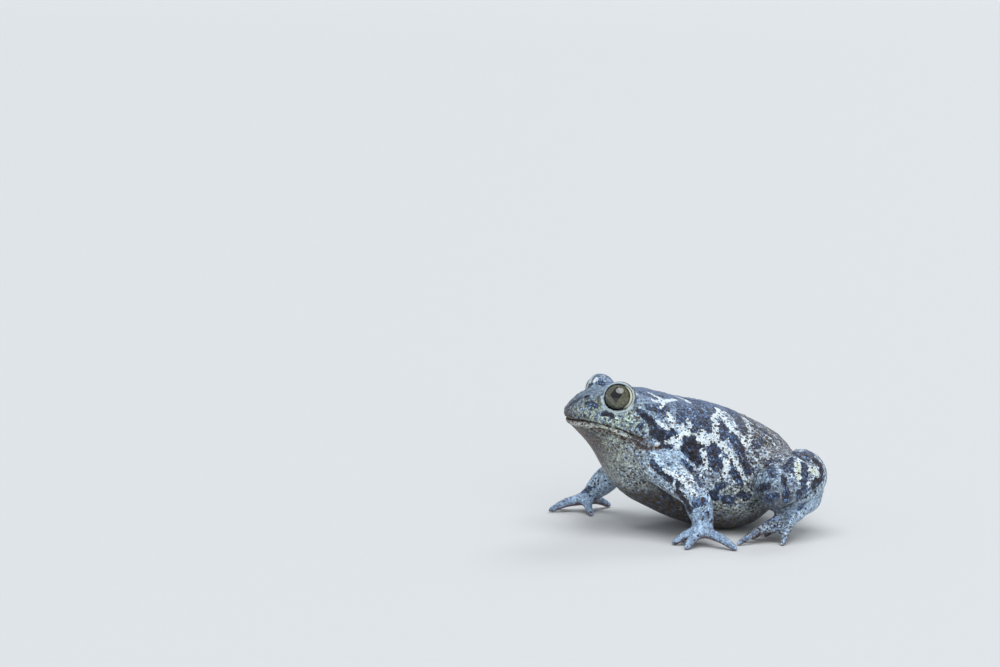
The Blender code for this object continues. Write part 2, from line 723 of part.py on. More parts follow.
def centre_on_origin(items):
    # Sets the origin on the floor under the middle of the whole animal
    corners = [np.array(corner) for item in items for corner in item.bound_box]
    low, high = np.min(corners, axis=0), np.max(corners, axis=0)
    middle = Vector(((low[0] + high[0]) / 2, (low[1] + high[1]) / 2, low[2]))
    for item in items:
        item.data.transform(Matrix.Translation(-middle))


main()
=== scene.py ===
# Syrian spadefoot toad at life size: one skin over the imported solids, moist eyes, horn spades,
# on a plain pale floor, seen as in the photograph. Sizes in the tables are in millimetres.
import math

import bmesh
import bpy
import numpy as np
from mathutils import Matrix, Vector, kdtree


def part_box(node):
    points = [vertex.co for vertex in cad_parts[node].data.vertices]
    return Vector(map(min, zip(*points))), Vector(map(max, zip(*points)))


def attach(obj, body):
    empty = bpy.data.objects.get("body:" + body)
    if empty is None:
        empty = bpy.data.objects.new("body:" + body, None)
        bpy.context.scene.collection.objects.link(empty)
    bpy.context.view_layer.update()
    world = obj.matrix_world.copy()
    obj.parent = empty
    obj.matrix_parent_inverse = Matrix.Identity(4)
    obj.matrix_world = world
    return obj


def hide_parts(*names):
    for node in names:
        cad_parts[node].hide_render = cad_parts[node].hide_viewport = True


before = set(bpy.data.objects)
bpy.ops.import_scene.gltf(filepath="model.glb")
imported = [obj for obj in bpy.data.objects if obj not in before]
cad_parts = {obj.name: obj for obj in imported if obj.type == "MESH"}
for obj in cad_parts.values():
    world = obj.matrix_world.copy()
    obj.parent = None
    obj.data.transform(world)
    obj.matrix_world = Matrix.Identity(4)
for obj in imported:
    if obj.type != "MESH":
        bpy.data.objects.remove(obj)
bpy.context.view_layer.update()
mm = 0.001
tiny = 1e-9
randomSeed = 11

# The tables give places as the part's source does: origin under the middle of the trunk.
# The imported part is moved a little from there, and the left eye shows how far.
eyePlace = {"centre": (8.9, -22.9, 36.7), "gaze": (0.84, -0.50, 0.27)}
low, high = (np.array(corner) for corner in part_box("eye_left"))
bodyShift = (low + high) / 2 / mm - np.array(eyePlace["centre"])


def bodyPlace(point):
    # A place from the tables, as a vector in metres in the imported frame
    return Vector((np.array(point) + bodyShift) * mm)


def mirrored(point, side):
    return np.array((point[0] * side, *point[1:]), float)


# The camera stands where the photograph's did
view = {
    "azimuth": 71.0, "elevation": 8.5, "distance": 0.80,
    "target": (0.0, 0.0, 20.0),
    "targetPixel": (691.3, 452.9), "imageSize": (1000, 667), "pixelsPerMetre": 3740.0,
    "sensorWidth": 36.0, "clip": (0.05, 200.0),
    "aimRounds": 30,
}


def newObject(name, data, material=None):
    item = bpy.data.objects.new(name, data)
    bpy.context.scene.collection.objects.link(item)
    if material:
        data.materials.append(material)
    return item


def makeCamera():
    azimuth, elevation = math.radians(view["azimuth"]), math.radians(view["elevation"])
    back = Vector((math.sin(azimuth) * math.cos(elevation), -math.cos(azimuth) * math.cos(elevation),
                   math.sin(elevation)))
    target = bodyPlace(view["target"])
    place = target + back * view["distance"]
    focal = view["pixelsPerMetre"] * view["distance"]
    width, height = view["imageSize"]
    across, down = view["targetPixel"]
    wanted = ((across - width / 2) / focal, (height / 2 - down) / focal)
    # Turned in small steps until the target falls on its place in the picture
    turn, lift = math.atan2(-back.y, -back.x), math.asin(-back.z)
    for _ in range(view["aimRounds"]):
        ahead = Vector((math.cos(turn) * math.cos(lift), math.sin(turn) * math.cos(lift), math.sin(lift)))
        right = ahead.cross(Vector((0.0, 0.0, 1.0))).normalized()
        up = right.cross(ahead).normalized()
        ray = target - place
        x, y = ray.dot(right) / ray.dot(ahead), ray.dot(up) / ray.dot(ahead)
        turn += wanted[0] - x
        lift -= wanted[1] - y
    camera = bpy.data.cameras.new("photoView")
    camera.sensor_width = view["sensorWidth"]
    camera.lens = focal * view["sensorWidth"] / width
    camera.clip_start, camera.clip_end = view["clip"]
    holder = newObject("photoView", camera)
    rotation = Matrix((right, up, -ahead)).transposed().to_4x4()
    holder.matrix_world = Matrix.Translation(place) @ rotation
    bpy.context.scene.camera = holder


makeCamera()
print("camera placed")

# The skin: one closed surface knitted over the flesh solids, then shaped and painted
skinSizes = {
    "nodes": ["head", "torso"] + [
        limb + side for limb in ("upper_arm", "forearm", "hand", "thigh", "shank", "foot")
        for side in ("_left", "_right")],
    "weld": 0.001,
    "swell": 0.30,  # closes the gaps between the solids before they are knitted
    "voxel": 0.50,
    "soften": 7,
    "mouthFill": (0.8, 1.8), "nostrilFill": (1.6, 2.6), "fillSoften": 12,
    "drawIn": 0.24,  # brings the knitted skin back to the solids' size
    # The mesh is halved twice: how close to the lines of the face, how close to the middle of an eye
    # and how far behind it, and whether the folds are halved as well
    "fineSteps": [(1.1, 6.4, -1.0, True), (0.55, 5.2, -1.0, False)],
    "fineSoften": 2,
}
eyeSizes = {
    "radius": 3.85, "bulge": 4.45, "room": 0.10, "ballLevels": 4,
    "openUp": 59.0, "openSide": 71.0,  # half angles of the lids' opening
    "lidThickness": 0.42, "lidTurn": 5.0, "lidBlend": 20.0,
    "lidOver": 0.30,  # the least height of the skin over the socket
    "flare": 0.35, "flareTurn": (8.0, 42.0),  # the lower lid spreads outward into the cheek
    "low": (-0.1, 0.7), "lowLean": 0.35, "lowTurn": 14.0,  # where the lower lid is
    "tuck": 1.5,  # how fast the skin turns back inside the opening
    # From cheekStart out the skin is cheek, kept clear of the opening
    "cheekStart": 4.5, "cheekBlend": 0.5, "cheekTurn": 5.0,
    "eyeReach": 6.6,
    "groove": 0.34, "grooveAngle": 14.0, "grooveWidth": 5.0,  # the furrow round the lids
    # What is painted round the opening: the pale rim, the painted shadow in the furrow round the lids, and
    # the lining's painted shade
    "lining": 0.01, "edge": 4.2, "rim": (0.66, 0.90),
    "furrow": 1.42, "furrowWidth": 0.45, "furrowFade": (-0.95, -0.1),
}
socket = eyeSizes["radius"] + eyeSizes["room"]


def finishMesh(work, name):
    mesh = bpy.data.meshes.new(name)
    work.to_mesh(mesh)
    work.free()
    return mesh


def readArray(items, name, width, kind=float):
    values = np.empty(len(items) * width, kind)
    items.foreach_get(name, values)
    return values.reshape(-1, width)


def readPoints(mesh):
    return readArray(mesh.vertices, "co", 3) / mm - bodyShift


def writePoints(mesh, points):
    mesh.vertices.foreach_set("co", ((points + bodyShift) * mm).ravel())
    mesh.update()


def readNormals(mesh):
    return readArray(mesh.vertex_normals, "vector", 3)


def readEdges(mesh):
    return readArray(mesh.edges, "vertices", 2, np.int32)


def relax(points, edges, weight, passes):
    # Moves each point towards the middle of its neighbours
    count = len(points)
    share = 1.0 / np.maximum(np.bincount(edges.ravel(), minlength=count), 1)
    for _ in range(passes):
        middle = np.empty_like(points)
        for axis in range(3):
            total = np.bincount(edges[:, 0], points[edges[:, 1], axis], count)
            total += np.bincount(edges[:, 1], points[edges[:, 0], axis], count)
            middle[:, axis] = total * share
        points = points + (middle - points) * (0.5 * weight)[:, None]
    return points


def smoothLine(points, count=60):
    # A smooth line through the points, evenly spaced
    points = np.asarray(points, float)
    knots = np.concatenate([[0.0], np.cumsum(np.linalg.norm(np.diff(points[:, :3], axis=0), axis=1))])
    at = np.linspace(0.0, knots[-1], count)
    slopes = np.gradient(points, knots, axis=0)
    cell = np.clip(np.searchsorted(knots, at) - 1, 0, len(knots) - 2)
    width = (knots[cell + 1] - knots[cell])[:, None]
    part = (at - knots[cell])[:, None] / width
    rest = 1 - part
    return ((1 + 2 * part) * rest ** 2 * points[cell] + part * rest ** 2 * width * slopes[cell]
            + part ** 2 * (3 - 2 * part) * points[cell + 1]
            + part ** 2 * (part - 1) * width * slopes[cell + 1])


def lineDistance(points, line, radii=None):
    # Distance to a chain of pieces, less the chain's radius where radii are given
    best = np.full(len(points), 1e9)
    for k in range(max(1, len(line) - 1)):
        a = line[k, :3]
        d = line[min(k + 1, len(line) - 1), :3] - a
        t = np.clip((points - a) @ d / max(d @ d, tiny), 0.0, 1.0)
        gap = np.linalg.norm(points - (a + t[:, None] * d), axis=1)
        if radii is not None:
            gap -= radii[k] + (radii[min(k + 1, len(line) - 1)] - radii[k]) * t
        best = np.minimum(best, gap)
    return best


def ramp(value, start, end):
    part = np.clip((value - start) / (end - start), 0.0, 1.0)
    return part * part * (3 - 2 * part)


def pointTree(points):
    tree = kdtree.KDTree(len(points))
    for k, p in enumerate(points):
        tree.insert(p, k)
    tree.balance()
    return tree


def gatherFlesh():
    # Copies of the flesh solids, merged, swollen a little and joined in one mesh
    joined = bmesh.new()
    for name in skinSizes["nodes"]:
        part = bmesh.new()
        part.from_mesh(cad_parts[name].data)
        bmesh.ops.remove_doubles(part, verts=part.verts, dist=skinSizes["weld"] * mm)
        part.normal_update()
        shifts = [v.normal * skinSizes["swell"] * mm for v in part.verts]
        for v, move in zip(part.verts, shifts):
            v.co += move
        copy = finishMesh(part, "part")
        joined.from_mesh(copy)
        bpy.data.meshes.remove(copy)
    for side in (1, -1):
        # The eye room is filled here, and the lids are shaped from it later
        ball = bmesh.ops.create_icosphere(joined, subdivisions=eyeSizes["ballLevels"],
                                          radius=eyeSizes["bulge"] * mm)
        bmesh.ops.translate(joined, verts=ball["verts"], vec=bodyPlace(mirrored(eyePlace["centre"], side)))
    return finishMesh(joined, "skin")


def knitSkin(mesh):
    # One closed surface round all the solids, from an even grid
    item = newObject("skin", mesh)
    knit = item.modifiers.new("knit", "REMESH")
    knit.mode = "VOXEL"
    knit.voxel_size = skinSizes["voxel"] * mm
    bpy.context.view_layer.update()
    knitted = bpy.data.meshes.new_from_object(item.evaluated_get(bpy.context.evaluated_depsgraph_get()))
    item.modifiers.clear()
    item.data = knitted
    bpy.data.meshes.remove(mesh)
    return item


def refine(mesh, chosen):
    # Halves the edges of the chosen points
    work = bmesh.new()
    work.from_mesh(mesh)
    work.verts.ensure_lookup_table()
    near = [e for e in work.edges if chosen[e.verts[0].index] and chosen[e.verts[1].index]]
    bmesh.ops.subdivide_edges(work, edges=near, cuts=1, use_grid_fill=True)
    work.to_mesh(mesh)
    work.free()


def snapped(points, line):
    # The line laid on the nearest points of the skin
    tree = pointTree(points)
    return np.array([tree.find(p[:3])[0] for p in smoothLine(line)])


def faceLine(name, side, rise=0.0):
    # One of the lines below on either side, or raised a little
    return np.array([mirrored((x, y, z + rise), side) for x, y, z in faceLines[name]])


faceLines = {
    # From the middle of the lips to the corner of the mouth
    "mouth": [(0.0, -35.0, 30.4), (3.4, -33.4, 30.7), (6.2, -32.1, 30.8), (9.6, -29.0, 30.4),
        (11.7, -25.4, 29.4), (12.9, -22.7, 28.4), (13.1, -21.1, 27.6)],
    "mouthCorner": [(13.1, -21.1, 27.6), (13.8, -20.0, 27.0), (14.3, -18.5, 26.2)],
    "jawFold": [(9.0, -30.2, 29.0), (10.4, -28.4, 28.8), (11.5, -26.3, 28.2), (12.9, -23.8, 26.8),
        (13.9, -20.9, 25.9), (14.0, -17.8, 24.1), (14.9, -15.9, 24.0), (15.2, -13.8, 24.1)],
    "armpit": [(10.3, -18.2, 15.0), (11.2, -15.2, 14.0), (11.9, -12.7, 12.9), (12.0, -10.5, 11.0),
        (11.4, -8.9, 9.0)],
    "thighFront": [(22.9, 12.4, 19.4), (24.5, 10.5, 17.3), (25.9, 9.3, 15.0), (25.2, 9.4, 12.2),
        (18.2, 12.1, 8.6)],
    "kneeFold": [(23.9, 16.5, 20.4), (27.4, 15.7, 18.9), (31.7, 14.8, 16.9), (32.5, 15.2, 14.4),
        (32.3, 15.4, 11.8)],
    "footFold": [(28.0, 24.9, 13.3), (28.9, 22.6, 12.4), (29.8, 20.4, 11.4), (31.0, 17.7, 10.7),
        (31.1, 15.5, 9.9), (29.8, 13.8, 8.8)],
    "shoulderFold": [(15.2, -16.0, 23.9), (16.2, -13.6, 23.6), (15.8, -10.2, 22.9), (16.6, -7.7, 21.4),
        (17.3, -5.7, 18.7)],
    "nostril": [(3.5, -30.4, 36.4), (3.9, -29.8, 36.7)],
}
# name: (depth, width) of each fold pressed in the skin on both sides
foldForms = {
    "jawFold": (0.42, 0.50), "mouthCorner": (0.40, 0.45), "armpit": (0.40, 0.6), "thighFront": (0.9, 0.8),
    "kneeFold": (0.35, 0.7), "footFold": (0.75, 0.45), "shoulderFold": (0.25, 0.7),
}
# (rise above the line of the mouth, depth, width): its groove, then the lips
lipForms = [(0.0, 0.52, 0.24), (-1.05, -0.38, 0.62), (0.9, -0.24, 0.6)]
# (depth, width): the rim of the nostril, then its pit
nostrilForms = [(-0.22, 1.0), (0.85, 0.36)]


def press(points, normals, line, depth, width):
    return points - normals * (depth * np.exp(-(lineDistance(points, line) / width) ** 2))[:, None]


def eyeFrame(side):
    # Centre, gaze, and the directions to the rear and up in the lids' plane
    centre = mirrored(eyePlace["centre"], side)
    gaze = mirrored(eyePlace["gaze"], side)
    gaze /= np.linalg.norm(gaze)
    up = np.array((0.0, 0.0, 1.0)) - gaze * gaze[2]
    up /= np.linalg.norm(up)
    return centre, gaze, np.cross(up, gaze), up


def lidAngles(points, side):
    # Distance from the eye's centre, angle from the gaze, direction round it, and the lids' opening there
    centre, gaze, across, up = eyeFrame(side)
    offset = points - centre
    reach = np.linalg.norm(offset, axis=1)
    ray = offset / np.maximum(reach, tiny)[:, None]
    angle = np.degrees(np.arccos(np.clip(ray @ gaze, -1, 1)))
    flat = ray - (ray @ gaze)[:, None] * gaze
    flat /= np.maximum(np.linalg.norm(flat, axis=1), tiny)[:, None]
    opening = eyeSizes["openSide"] + (eyeSizes["openUp"] - eyeSizes["openSide"]) * (flat @ up) ** 2
    return reach, angle, flat, opening


def shapeLids(points, side):
    # Turns the filled bulge into lids, with a socket behind the eyeball
    centre, gaze, across, up = eyeFrame(side)
    reach, angle, flat, opening = lidAngles(points, side)
    near = reach < eyeSizes["eyeReach"]
    reach, angle, flat, opening = (values[near] for values in (reach, angle, flat, opening))
    cheek = ramp(reach, eyeSizes["cheekStart"], eyeSizes["cheekStart"] + eyeSizes["cheekBlend"])
    inside = (angle < opening) & (cheek < 0.5)
    limit = opening + eyeSizes["lidTurn"] - eyeSizes["cheekTurn"] * (reach - eyeSizes["cheekStart"])
    angle = np.where(inside, angle, angle + (np.maximum(angle, limit) - angle) * cheek)
    past = np.clip((angle - opening) / eyeSizes["lidTurn"], 0.0, 1.0)
    lid = socket + eyeSizes["lidThickness"] * np.sqrt(1 - (1 - past) ** 2)
    lid -= eyeSizes["groove"] * np.exp(
        -((angle - opening - eyeSizes["grooveAngle"]) / eyeSizes["grooveWidth"]) ** 2)
    below = ramp(flat @ up * -1.0 - eyeSizes["lowLean"] * (flat @ across), *eyeSizes["low"])
    start, end = eyeSizes["flareTurn"]
    lid += eyeSizes["flare"] * below * ramp(angle, opening + start, opening + end)
    start = opening + eyeSizes["lidTurn"] + eyeSizes["lowTurn"] * below
    blend = np.maximum(ramp(angle, start, start + eyeSizes["lidBlend"]), cheek)
    size = lid * (1 - blend) + np.maximum(reach, socket + eyeSizes["lidOver"]) * blend
    # Inside the opening the skin turns back behind the eyeball
    back = np.maximum(0.0, 1 - angle / opening) ** eyeSizes["tuck"]
    size = np.where(inside, socket, size)
    turned = np.radians(np.where(inside, opening + (180.0 - opening) * back, angle))[:, None]
    moved = centre + size[:, None] * (gaze * np.cos(turned) + flat * np.sin(turned))
    points = points.copy()
    points[near] = moved
    return points


def shapeSkin(item):
    mesh = item.data
    points, edges = readPoints(mesh), readEdges(mesh)
    points = relax(points, edges, np.ones(len(points)), skinSizes["soften"])
    # The coarse groove and nostrils of the solids are filled before the finer ones are shaped
    close = np.zeros(len(points))
    for side in (1, -1):
        gap = lineDistance(points, smoothLine(faceLine("mouth", side), 40))
        close = np.maximum(close, 1 - ramp(gap, *skinSizes["mouthFill"]))
        gap = np.linalg.norm(points - faceLine("nostril", side)[0], axis=1)
        close = np.maximum(close, 1 - ramp(gap, *skinSizes["nostrilFill"]))
    points = relax(points, edges, close, skinSizes["fillSoften"])
    writePoints(mesh, points)
    points -= readNormals(mesh) * skinSizes["drawIn"]
    writePoints(mesh, points)
    for reach, eyeReach, behind, foldsToo in skinSizes["fineSteps"]:
        points = readPoints(mesh)
        chosen = np.zeros(len(points), bool)
        for side in (1, -1):
            lines = [smoothLine(faceLine("mouth", side), 30), faceLine("nostril", side)]
            lines += [faceLine(fold, side) for fold in foldForms if foldsToo]
            for line in lines:
                chosen |= lineDistance(points, line) < reach
            centre, gaze, across, up = eyeFrame(side)
            offset = points - centre
            chosen |= (np.linalg.norm(offset, axis=1) < eyeReach) & (offset @ gaze > behind)
        refine(mesh, chosen)
    points, edges = readPoints(mesh), readEdges(mesh)
    points = relax(points, edges, np.ones(len(points)), skinSizes["fineSoften"])
    writePoints(mesh, points)
    normals = readNormals(mesh)
    for side in (1, -1):
        for rise, depth, width in lipForms:
            points = press(points, normals, snapped(points, faceLine("mouth", side, rise)), depth, width)
        for fold, (depth, width) in foldForms.items():
            points = press(points, normals, snapped(points, faceLine(fold, side)), depth, width)
        line = snapped(points, faceLine("nostril", side))
        for depth, width in nostrilForms:
            points = press(points, normals, line, depth, width)
    for side in (1, -1):
        points = shapeLids(points, side)
    points[:, 2] = np.maximum(points[:, 2], -bodyShift[2])
    writePoints(mesh, points)
    return item


# Dark blotches of the left side, each a chain of (x, y, z, radius)
darkMarks = [
    # nape and shoulder
    [(6, -15.8, 37.4, 0.9), (6.8, -13.9, 36.9, 1.1), (7.5, -11.9, 36.1, 0.7)],
    [(5.9, -10.8, 36.4, 0.6), (5.7, -8.5, 35.8, 0.6)],
    [(11.6, -16, 34.4, 0.9), (11.4, -13.7, 34, 1.3), (10.6, -11, 33.8, 1.3), (12.5, -12.5, 32.3, 1)],
    [(8.1, -6.9, 34.2, 1.3), (9.3, -5.3, 33.2, 2.1), (12.2, -7.1, 31.3, 1.4), (12.7, -5.3, 30.5, 1)],
    [(2.5, -2.5, 34.9, 0.5), (3.4, -0.5, 34.4, 1.1), (5.2, 0.8, 33.8, 1.3)],
    [(20.1, -12.9, 20.5, 0.4)],
    # back and loin
    [(9.3, -1.7, 32.5, 2.4), (8.8, 1.2, 32.4, 2.4), (5.1, 3.9, 33.1, 1.3), (13.2, -1.4, 29.6, 1.8),
     (14.5, 0.4, 28.1, 0.8), (12.5, -3.3, 30.4, 1.6)],
    [(14.3, -4, 28.3, 1), (14.3, -1.7, 28.4, 1)],
    [(6.8, 4.5, 32.5, 0.8), (7.5, 7.6, 31.4, 0.8), (8.6, 10, 30.2, 0.8)],
    [(3.3, 9.1, 31.9, 1.1), (5.7, 9.9, 31.1, 1.6), (9.9, 10.1, 29.5, 1.8), (13.2, 9.8, 27.6, 1.3)],
    [(12.6, 3.8, 29.6, 0.7), (14.4, 4.1, 28, 1.4), (16, 2.9, 26.1, 1)],
    [(15.6, 6.1, 26.2, 1.2), (16.8, 6.8, 24.5, 1.4), (17.8, 7.3, 22.5, 1.2)],
    # flank
    [(16.5, -0.8, 25, 1.2), (17.3, 0.8, 23.8, 1.6), (17.9, -0.7, 21.5, 1.7), (18.6, 0.7, 19.5, 1.7),
     (18.6, 2.3, 20.2, 1)],
    [(18.9, 4.2, 19.6, 0.8), (19.4, 5.4, 17.3, 1.1), (19.5, 6.7, 14.9, 0.8)],
    [(18.2, 3.6, 21.9, 0.8)],
    [(18.8, 8.1, 20, 0.9), (19.2, 9.1, 17.9, 1), (18.5, 7.6, 21, 0.8)],
    # rump
    [(6.3, 13.4, 29.5, 0.7), (9.8, 14.1, 27.8, 0.8)],
    [(15, 11.6, 25.1, 0.9), (15.8, 12.8, 23.6, 0.9), (13.3, 15.3, 24.7, 0.7)],
    [(9.7, 16.4, 26.6, 0.7), (11.1, 17.8, 24.9, 0.8), (12.6, 19.3, 22.6, 0.7)],
    [(9.2, 14.8, 27.7, 0.5), (9.8, 17.2, 26.1, 0.7), (11.2, 18.9, 24, 0.5)],
    # jaw and arm
    [(14.2, -15.7, 30, 0.8), (14.2, -13.6, 29.4, 0.9)],
    [(16.6, -8, 20.3, 0.8), (17.1, -6.2, 17.9, 0.9), (25.6, -7.2, 16.9, 0.8), (27.2, -6.7, 15.6, 0.5)],
    [(28.9, -8.8, 11.5, 0.9), (29.4, -6.8, 11.8, 0.9)],
    [(29.3, -5.5, 8.8, 0.4)],
    [(28.8, -4.4, 6.9, 0.4)],
    # knee and shank
    [(24.5, 20.6, 22.7, 1), (25.9, 22, 22.1, 1.8), (23.4, 25, 22.4, 1)],
    [(26.4, 17.4, 21.3, 1.3), (29, 17, 19.6, 1.6), (26.7, 16.2, 19.3, 1.2)],
    [(28.7, 20.7, 19.9, 1.1), (30, 20.5, 17.7, 1.1), (30.8, 19.9, 15.8, 0.9)],
    [(30.2, 21.3, 14.1, 0.9), (31.6, 18.3, 13.1, 1), (30.6, 19, 11.4, 0.6)],
    [(27.4, 21.6, 9.9, 0.5), (27.1, 20.1, 8.6, 0.6)],
    # thigh
    [(25.1, 13, 19.4, 0.9), (29.4, 12.2, 18, 0.9)],
    [(30.5, 10.5, 12.2, 1), (31.9, 12.1, 12.9, 0.8)],
    [(32.6, 14.6, 13.9, 0.9), (32.3, 15, 11.8, 0.8)],
    [(22.7, 16.1, 20.8, 0.8), (22.3, 12.9, 19.8, 0.6)],
    # side of the belly
    [(18, -0.4, 11.8, 1.1), (18, 0.7, 10.7, 1)],
    [(18.5, 3.3, 10.4, 1.1), (18.7, 4.6, 10.1, 0.9)],
    [(18.8, 1, 13.7, 0.9), (19.1, 2.5, 14.2, 0.8)],
    [(19.4, 7.1, 11.7, 0.8), (19.2, 8.6, 10.5, 0.8)],
    # brow and arm of the far side
    [(-6.6, -26.3, 38.3, 0.5), (-6.9, -25.9, 39.1, 0.5)],
    [(-5.7, -24.1, 39.4, 0.8), (-5, -23.2, 38.7, 0.7)],
    [(-27.3, -19.8, 7.1, 0.6), (-30, -21, 5.6, 0.5)],
]
# Blotches that are blackened in their middle: partly their own darker colour, partly painted shade on the
# blotches of the sides
blackShadeMarks = [
    # snout and cheek
    [(0.1, -34.2, 33.6, 0.5), (0.1, -33.3, 34.5, 0.7), (1.4, -32.3, 35.3, 0.7), (1.3, -31.4, 35.9, 0.4)],
    [(0.4, -31.7, 35.7, 0.2), (2.3, -30.9, 36.2, 0.2), (3.5, -30.2, 36.6, 0.2)],
    [(6.1, -30.7, 35.3, 0.6), (7.7, -30.1, 35.2, 0.7), (9, -29.4, 34.7, 0.6)],
    [(8.5, -30.6, 33.7, 0.4)],
    [(10.9, -27.8, 32.9, 0.6), (11.5, -26.4, 33.1, 0.6), (11.9, -25.9, 32.2, 0.4)],
    # behind the eye and the jaw
    [(12.7, -18.8, 33.6, 0.7), (13.3, -17.4, 32.3, 1), (13.8, -15.9, 31, 1), (14, -14.6, 30.2, 0.6)],
    [(14.7, -15.1, 27.9, 1.2), (14.8, -13.7, 27.1, 1.3), (14.5, -12.3, 28.4, 1.2), (14.8, -10.5, 27.5, 1.3),
     (15.1, -11.6, 26, 0.9)],
    [(14.1, -19, 29.9, 0.6)],
    [(15.1, -13.8, 24.3, 0.5), (15.1, -12.2, 24.5, 0.8), (15.6, -10.7, 24.2, 0.5)],
    [(15.4, -7.1, 26.4, 1), (16.1, -5.4, 25.1, 2), (17.1, -3.8, 22.6, 1.6), (17.5, -3.9, 20.6, 1.2),
     (16.3, -7.3, 23.7, 1.2)],
    # arm
    [(17.5, -16.8, 20.8, 0.6), (19, -15.9, 19.4, 0.7), (20.6, -14.8, 18, 0.8)],
    [(20, -14.9, 19.3, 0.6), (21.7, -13.8, 17.6, 0.8), (23, -13.1, 16.5, 0.5)],
    [(24.8, -11.8, 16, 1)],
    [(24.9, -12.1, 13.9, 0.8), (26.3, -10.9, 12, 0.9), (27.4, -10, 9.8, 1.1)],
    # leg
    [(26.2, 25, 20.7, 1), (26.1, 26.7, 19.3, 0.8), (27.5, 26.2, 16.6, 1.2), (29.1, 23.9, 15.1, 1.3)],
    [(30.9, 14.4, 17.9, 0.6), (32.1, 14.5, 16, 0.6)],
    [(27.8, 9.3, 14.5, 1.1), (30.1, 10.3, 15.3, 1)],
]
# Pale streaks that part the blotches
paleStreaks = [
    # nape and shoulder
    [(5.4, -13.7, 37.2, 0.2), (6.7, -12.5, 36.6, 0.3), (7.6, -11.1, 35.8, 0.2)],
    [(9, -14.1, 35.9, 0.2), (9, -12.7, 35.5, 0.3), (8.7, -10.9, 35.2, 0.4), (6.8, -8.6, 35.4, 0.4),
     (5.4, -6.2, 35.1, 0.3)],
    [(9.5, -11.2, 34.8, 0.4), (10.7, -12.1, 34.2, 0.3)],
    [(1.3, -5.4, 35.6, 0.2), (2.8, -4, 35.1, 0.3), (5.4, -2.6, 34.3, 0.3)],
    [(12, -10.6, 32.4, 0.4), (12.8, -10.1, 31.2, 0.7), (14.1, -10.2, 29.3, 0.4)],
    [(13.7, -14.2, 30.9, 0.3), (14, -12.9, 29.9, 0.4), (14.4, -11.4, 28.6, 0.4)],
    # jaw and side
    [(12.4, -5.2, 30.7, 0.4), (13.7, -5.1, 29.3, 0.5)],
    [(14, -8.8, 29.2, 0.3), (14.4, -7.3, 28.4, 0.7), (15, -6.1, 27.4, 0.6)],
    [(14.8, -15.1, 24.5, 0.5), (14.3, -13.3, 25.5, 0.4), (15.2, -11.4, 25.5, 0.4), (15.3, -9.5, 26.2, 0.5),
     (14.9, -7.5, 27.4, 0.5)],
    # saddle
    [(6, 4.7, 32.7, 0.4), (7.6, 5.2, 32.1, 0.6), (7.5, 6.4, 31.8, 0.5)],
    [(7.5, 5.3, 32.1, 0.5), (10, 3.6, 31.4, 0.6), (11.4, 1.7, 30.8, 0.5)],
    [(9.1, 5.1, 31.5, 0.4), (11.6, 5.6, 29.9, 0.4), (13.6, 6.3, 28.3, 0.5), (14.6, 7.3, 27.1, 0.4),
     (15.2, 8.8, 26.1, 0.6), (16.7, 9.3, 23.9, 0.6)],
    [(11.7, 1.9, 30.6, 0.5), (13.1, 2.3, 29.5, 0.8), (15, 1.4, 27.6, 0.7), (16, 1.3, 26.2, 0.6)],
    [(15.8, 0.3, 26.5, 0.5), (16.6, 1.9, 25.2, 0.7), (17.4, 3.3, 23.7, 0.8), (18.2, 4.7, 21.9, 0.7),
     (18.9, 5.6, 19.8, 0.5), (19.4, 7.1, 17.5, 0.5), (18.8, 8.7, 14.9, 0.4)],
    # flank
    [(14.8, -2.2, 27.7, 0.7), (15.6, -3.3, 26.3, 0.7), (16.5, -1.6, 25.1, 0.7), (15.6, -0.5, 26.7, 0.5)],
    [(17.1, -2.7, 23.3, 0.5), (17.7, -2.3, 21.3, 0.5), (18.1, -2.2, 19.2, 0.4)],
    [(18.6, 3.2, 20.4, 0.7), (19, 3.3, 18.6, 0.7), (19.2, 2.7, 16.6, 0.5)],
    # loin and rump
    [(6.6, 11.9, 30.1, 0.4), (9, 12.1, 29.1, 0.5), (12.3, 11.8, 27.4, 0.5), (14.6, 11.5, 25.6, 0.6),
     (16.6, 9.9, 23.8, 0.5)],
    [(6.7, 12.4, 29.8, 0.3), (8.5, 14, 28.4, 0.3)],
    [(10.5, 17.2, 25.6, 0.4), (11.4, 18.3, 24.4, 0.5), (12.6, 19.3, 22.6, 0.5)],
    # arm
    [(15.7, -10.2, 24, 0.4), (15.7, -8.8, 25, 0.5)],
    [(20.4, -14.5, 19.1, 0.3), (22.2, -12.9, 18.2, 0.4), (24.3, -11.4, 17.2, 0.4), (26.5, -10.2, 15.9, 0.5),
     (28.1, -9.1, 14.3, 0.6)],
    [(20.7, -10.2, 20, 0.3), (23.3, -9.1, 18.5, 0.3), (26.1, -8.5, 16.8, 0.3)],
    # knee and shank
    [(28, 19.3, 20.6, 0.7), (29.5, 18.8, 19, 0.8), (30.7, 18.6, 17.2, 0.7)],
    [(28.6, 23, 19, 0.8), (28.2, 24.8, 17.6, 0.8)],
    [(30, 21.9, 15.3, 0.6)],
    [(18, 20.9, 21.2, 0.4), (22.2, 20.9, 23.2, 0.4)],
    # brows
    [(-6.9, -25.6, 39.3, 0.6), (-6.6, -24.9, 39.9, 0.6)],
    [(11.3, -19.8, 38.5, 0.3), (7, -17.6, 37.3, 0.3)],
]
# Yellowish green patches
greenMarks = [
    # knee and shank
    [(28, 19.3, 20.6, 0.6), (29.7, 19, 18.8, 0.6), (30.8, 18.8, 16.9, 0.6)],
    [(28.6, 23.2, 18.7, 0.8), (28.3, 24.8, 17.3, 0.6)],
    [(29.9, 22.2, 15.3, 0.5)],
    [(17.7, 21.3, 21.2, 0.4)],
    # cheek, forearm and saddle
    [(12.8, -22.7, 33.2, 0.5), (12.8, -20.8, 33.7, 0.4)],
    [(26.2, -11.2, 12.8, 0.8), (27.1, -10.4, 11, 0.8)],
    [(14.7, -4.4, 27.8, 0.4), (15.2, -6.7, 26.9, 0.3)],
]
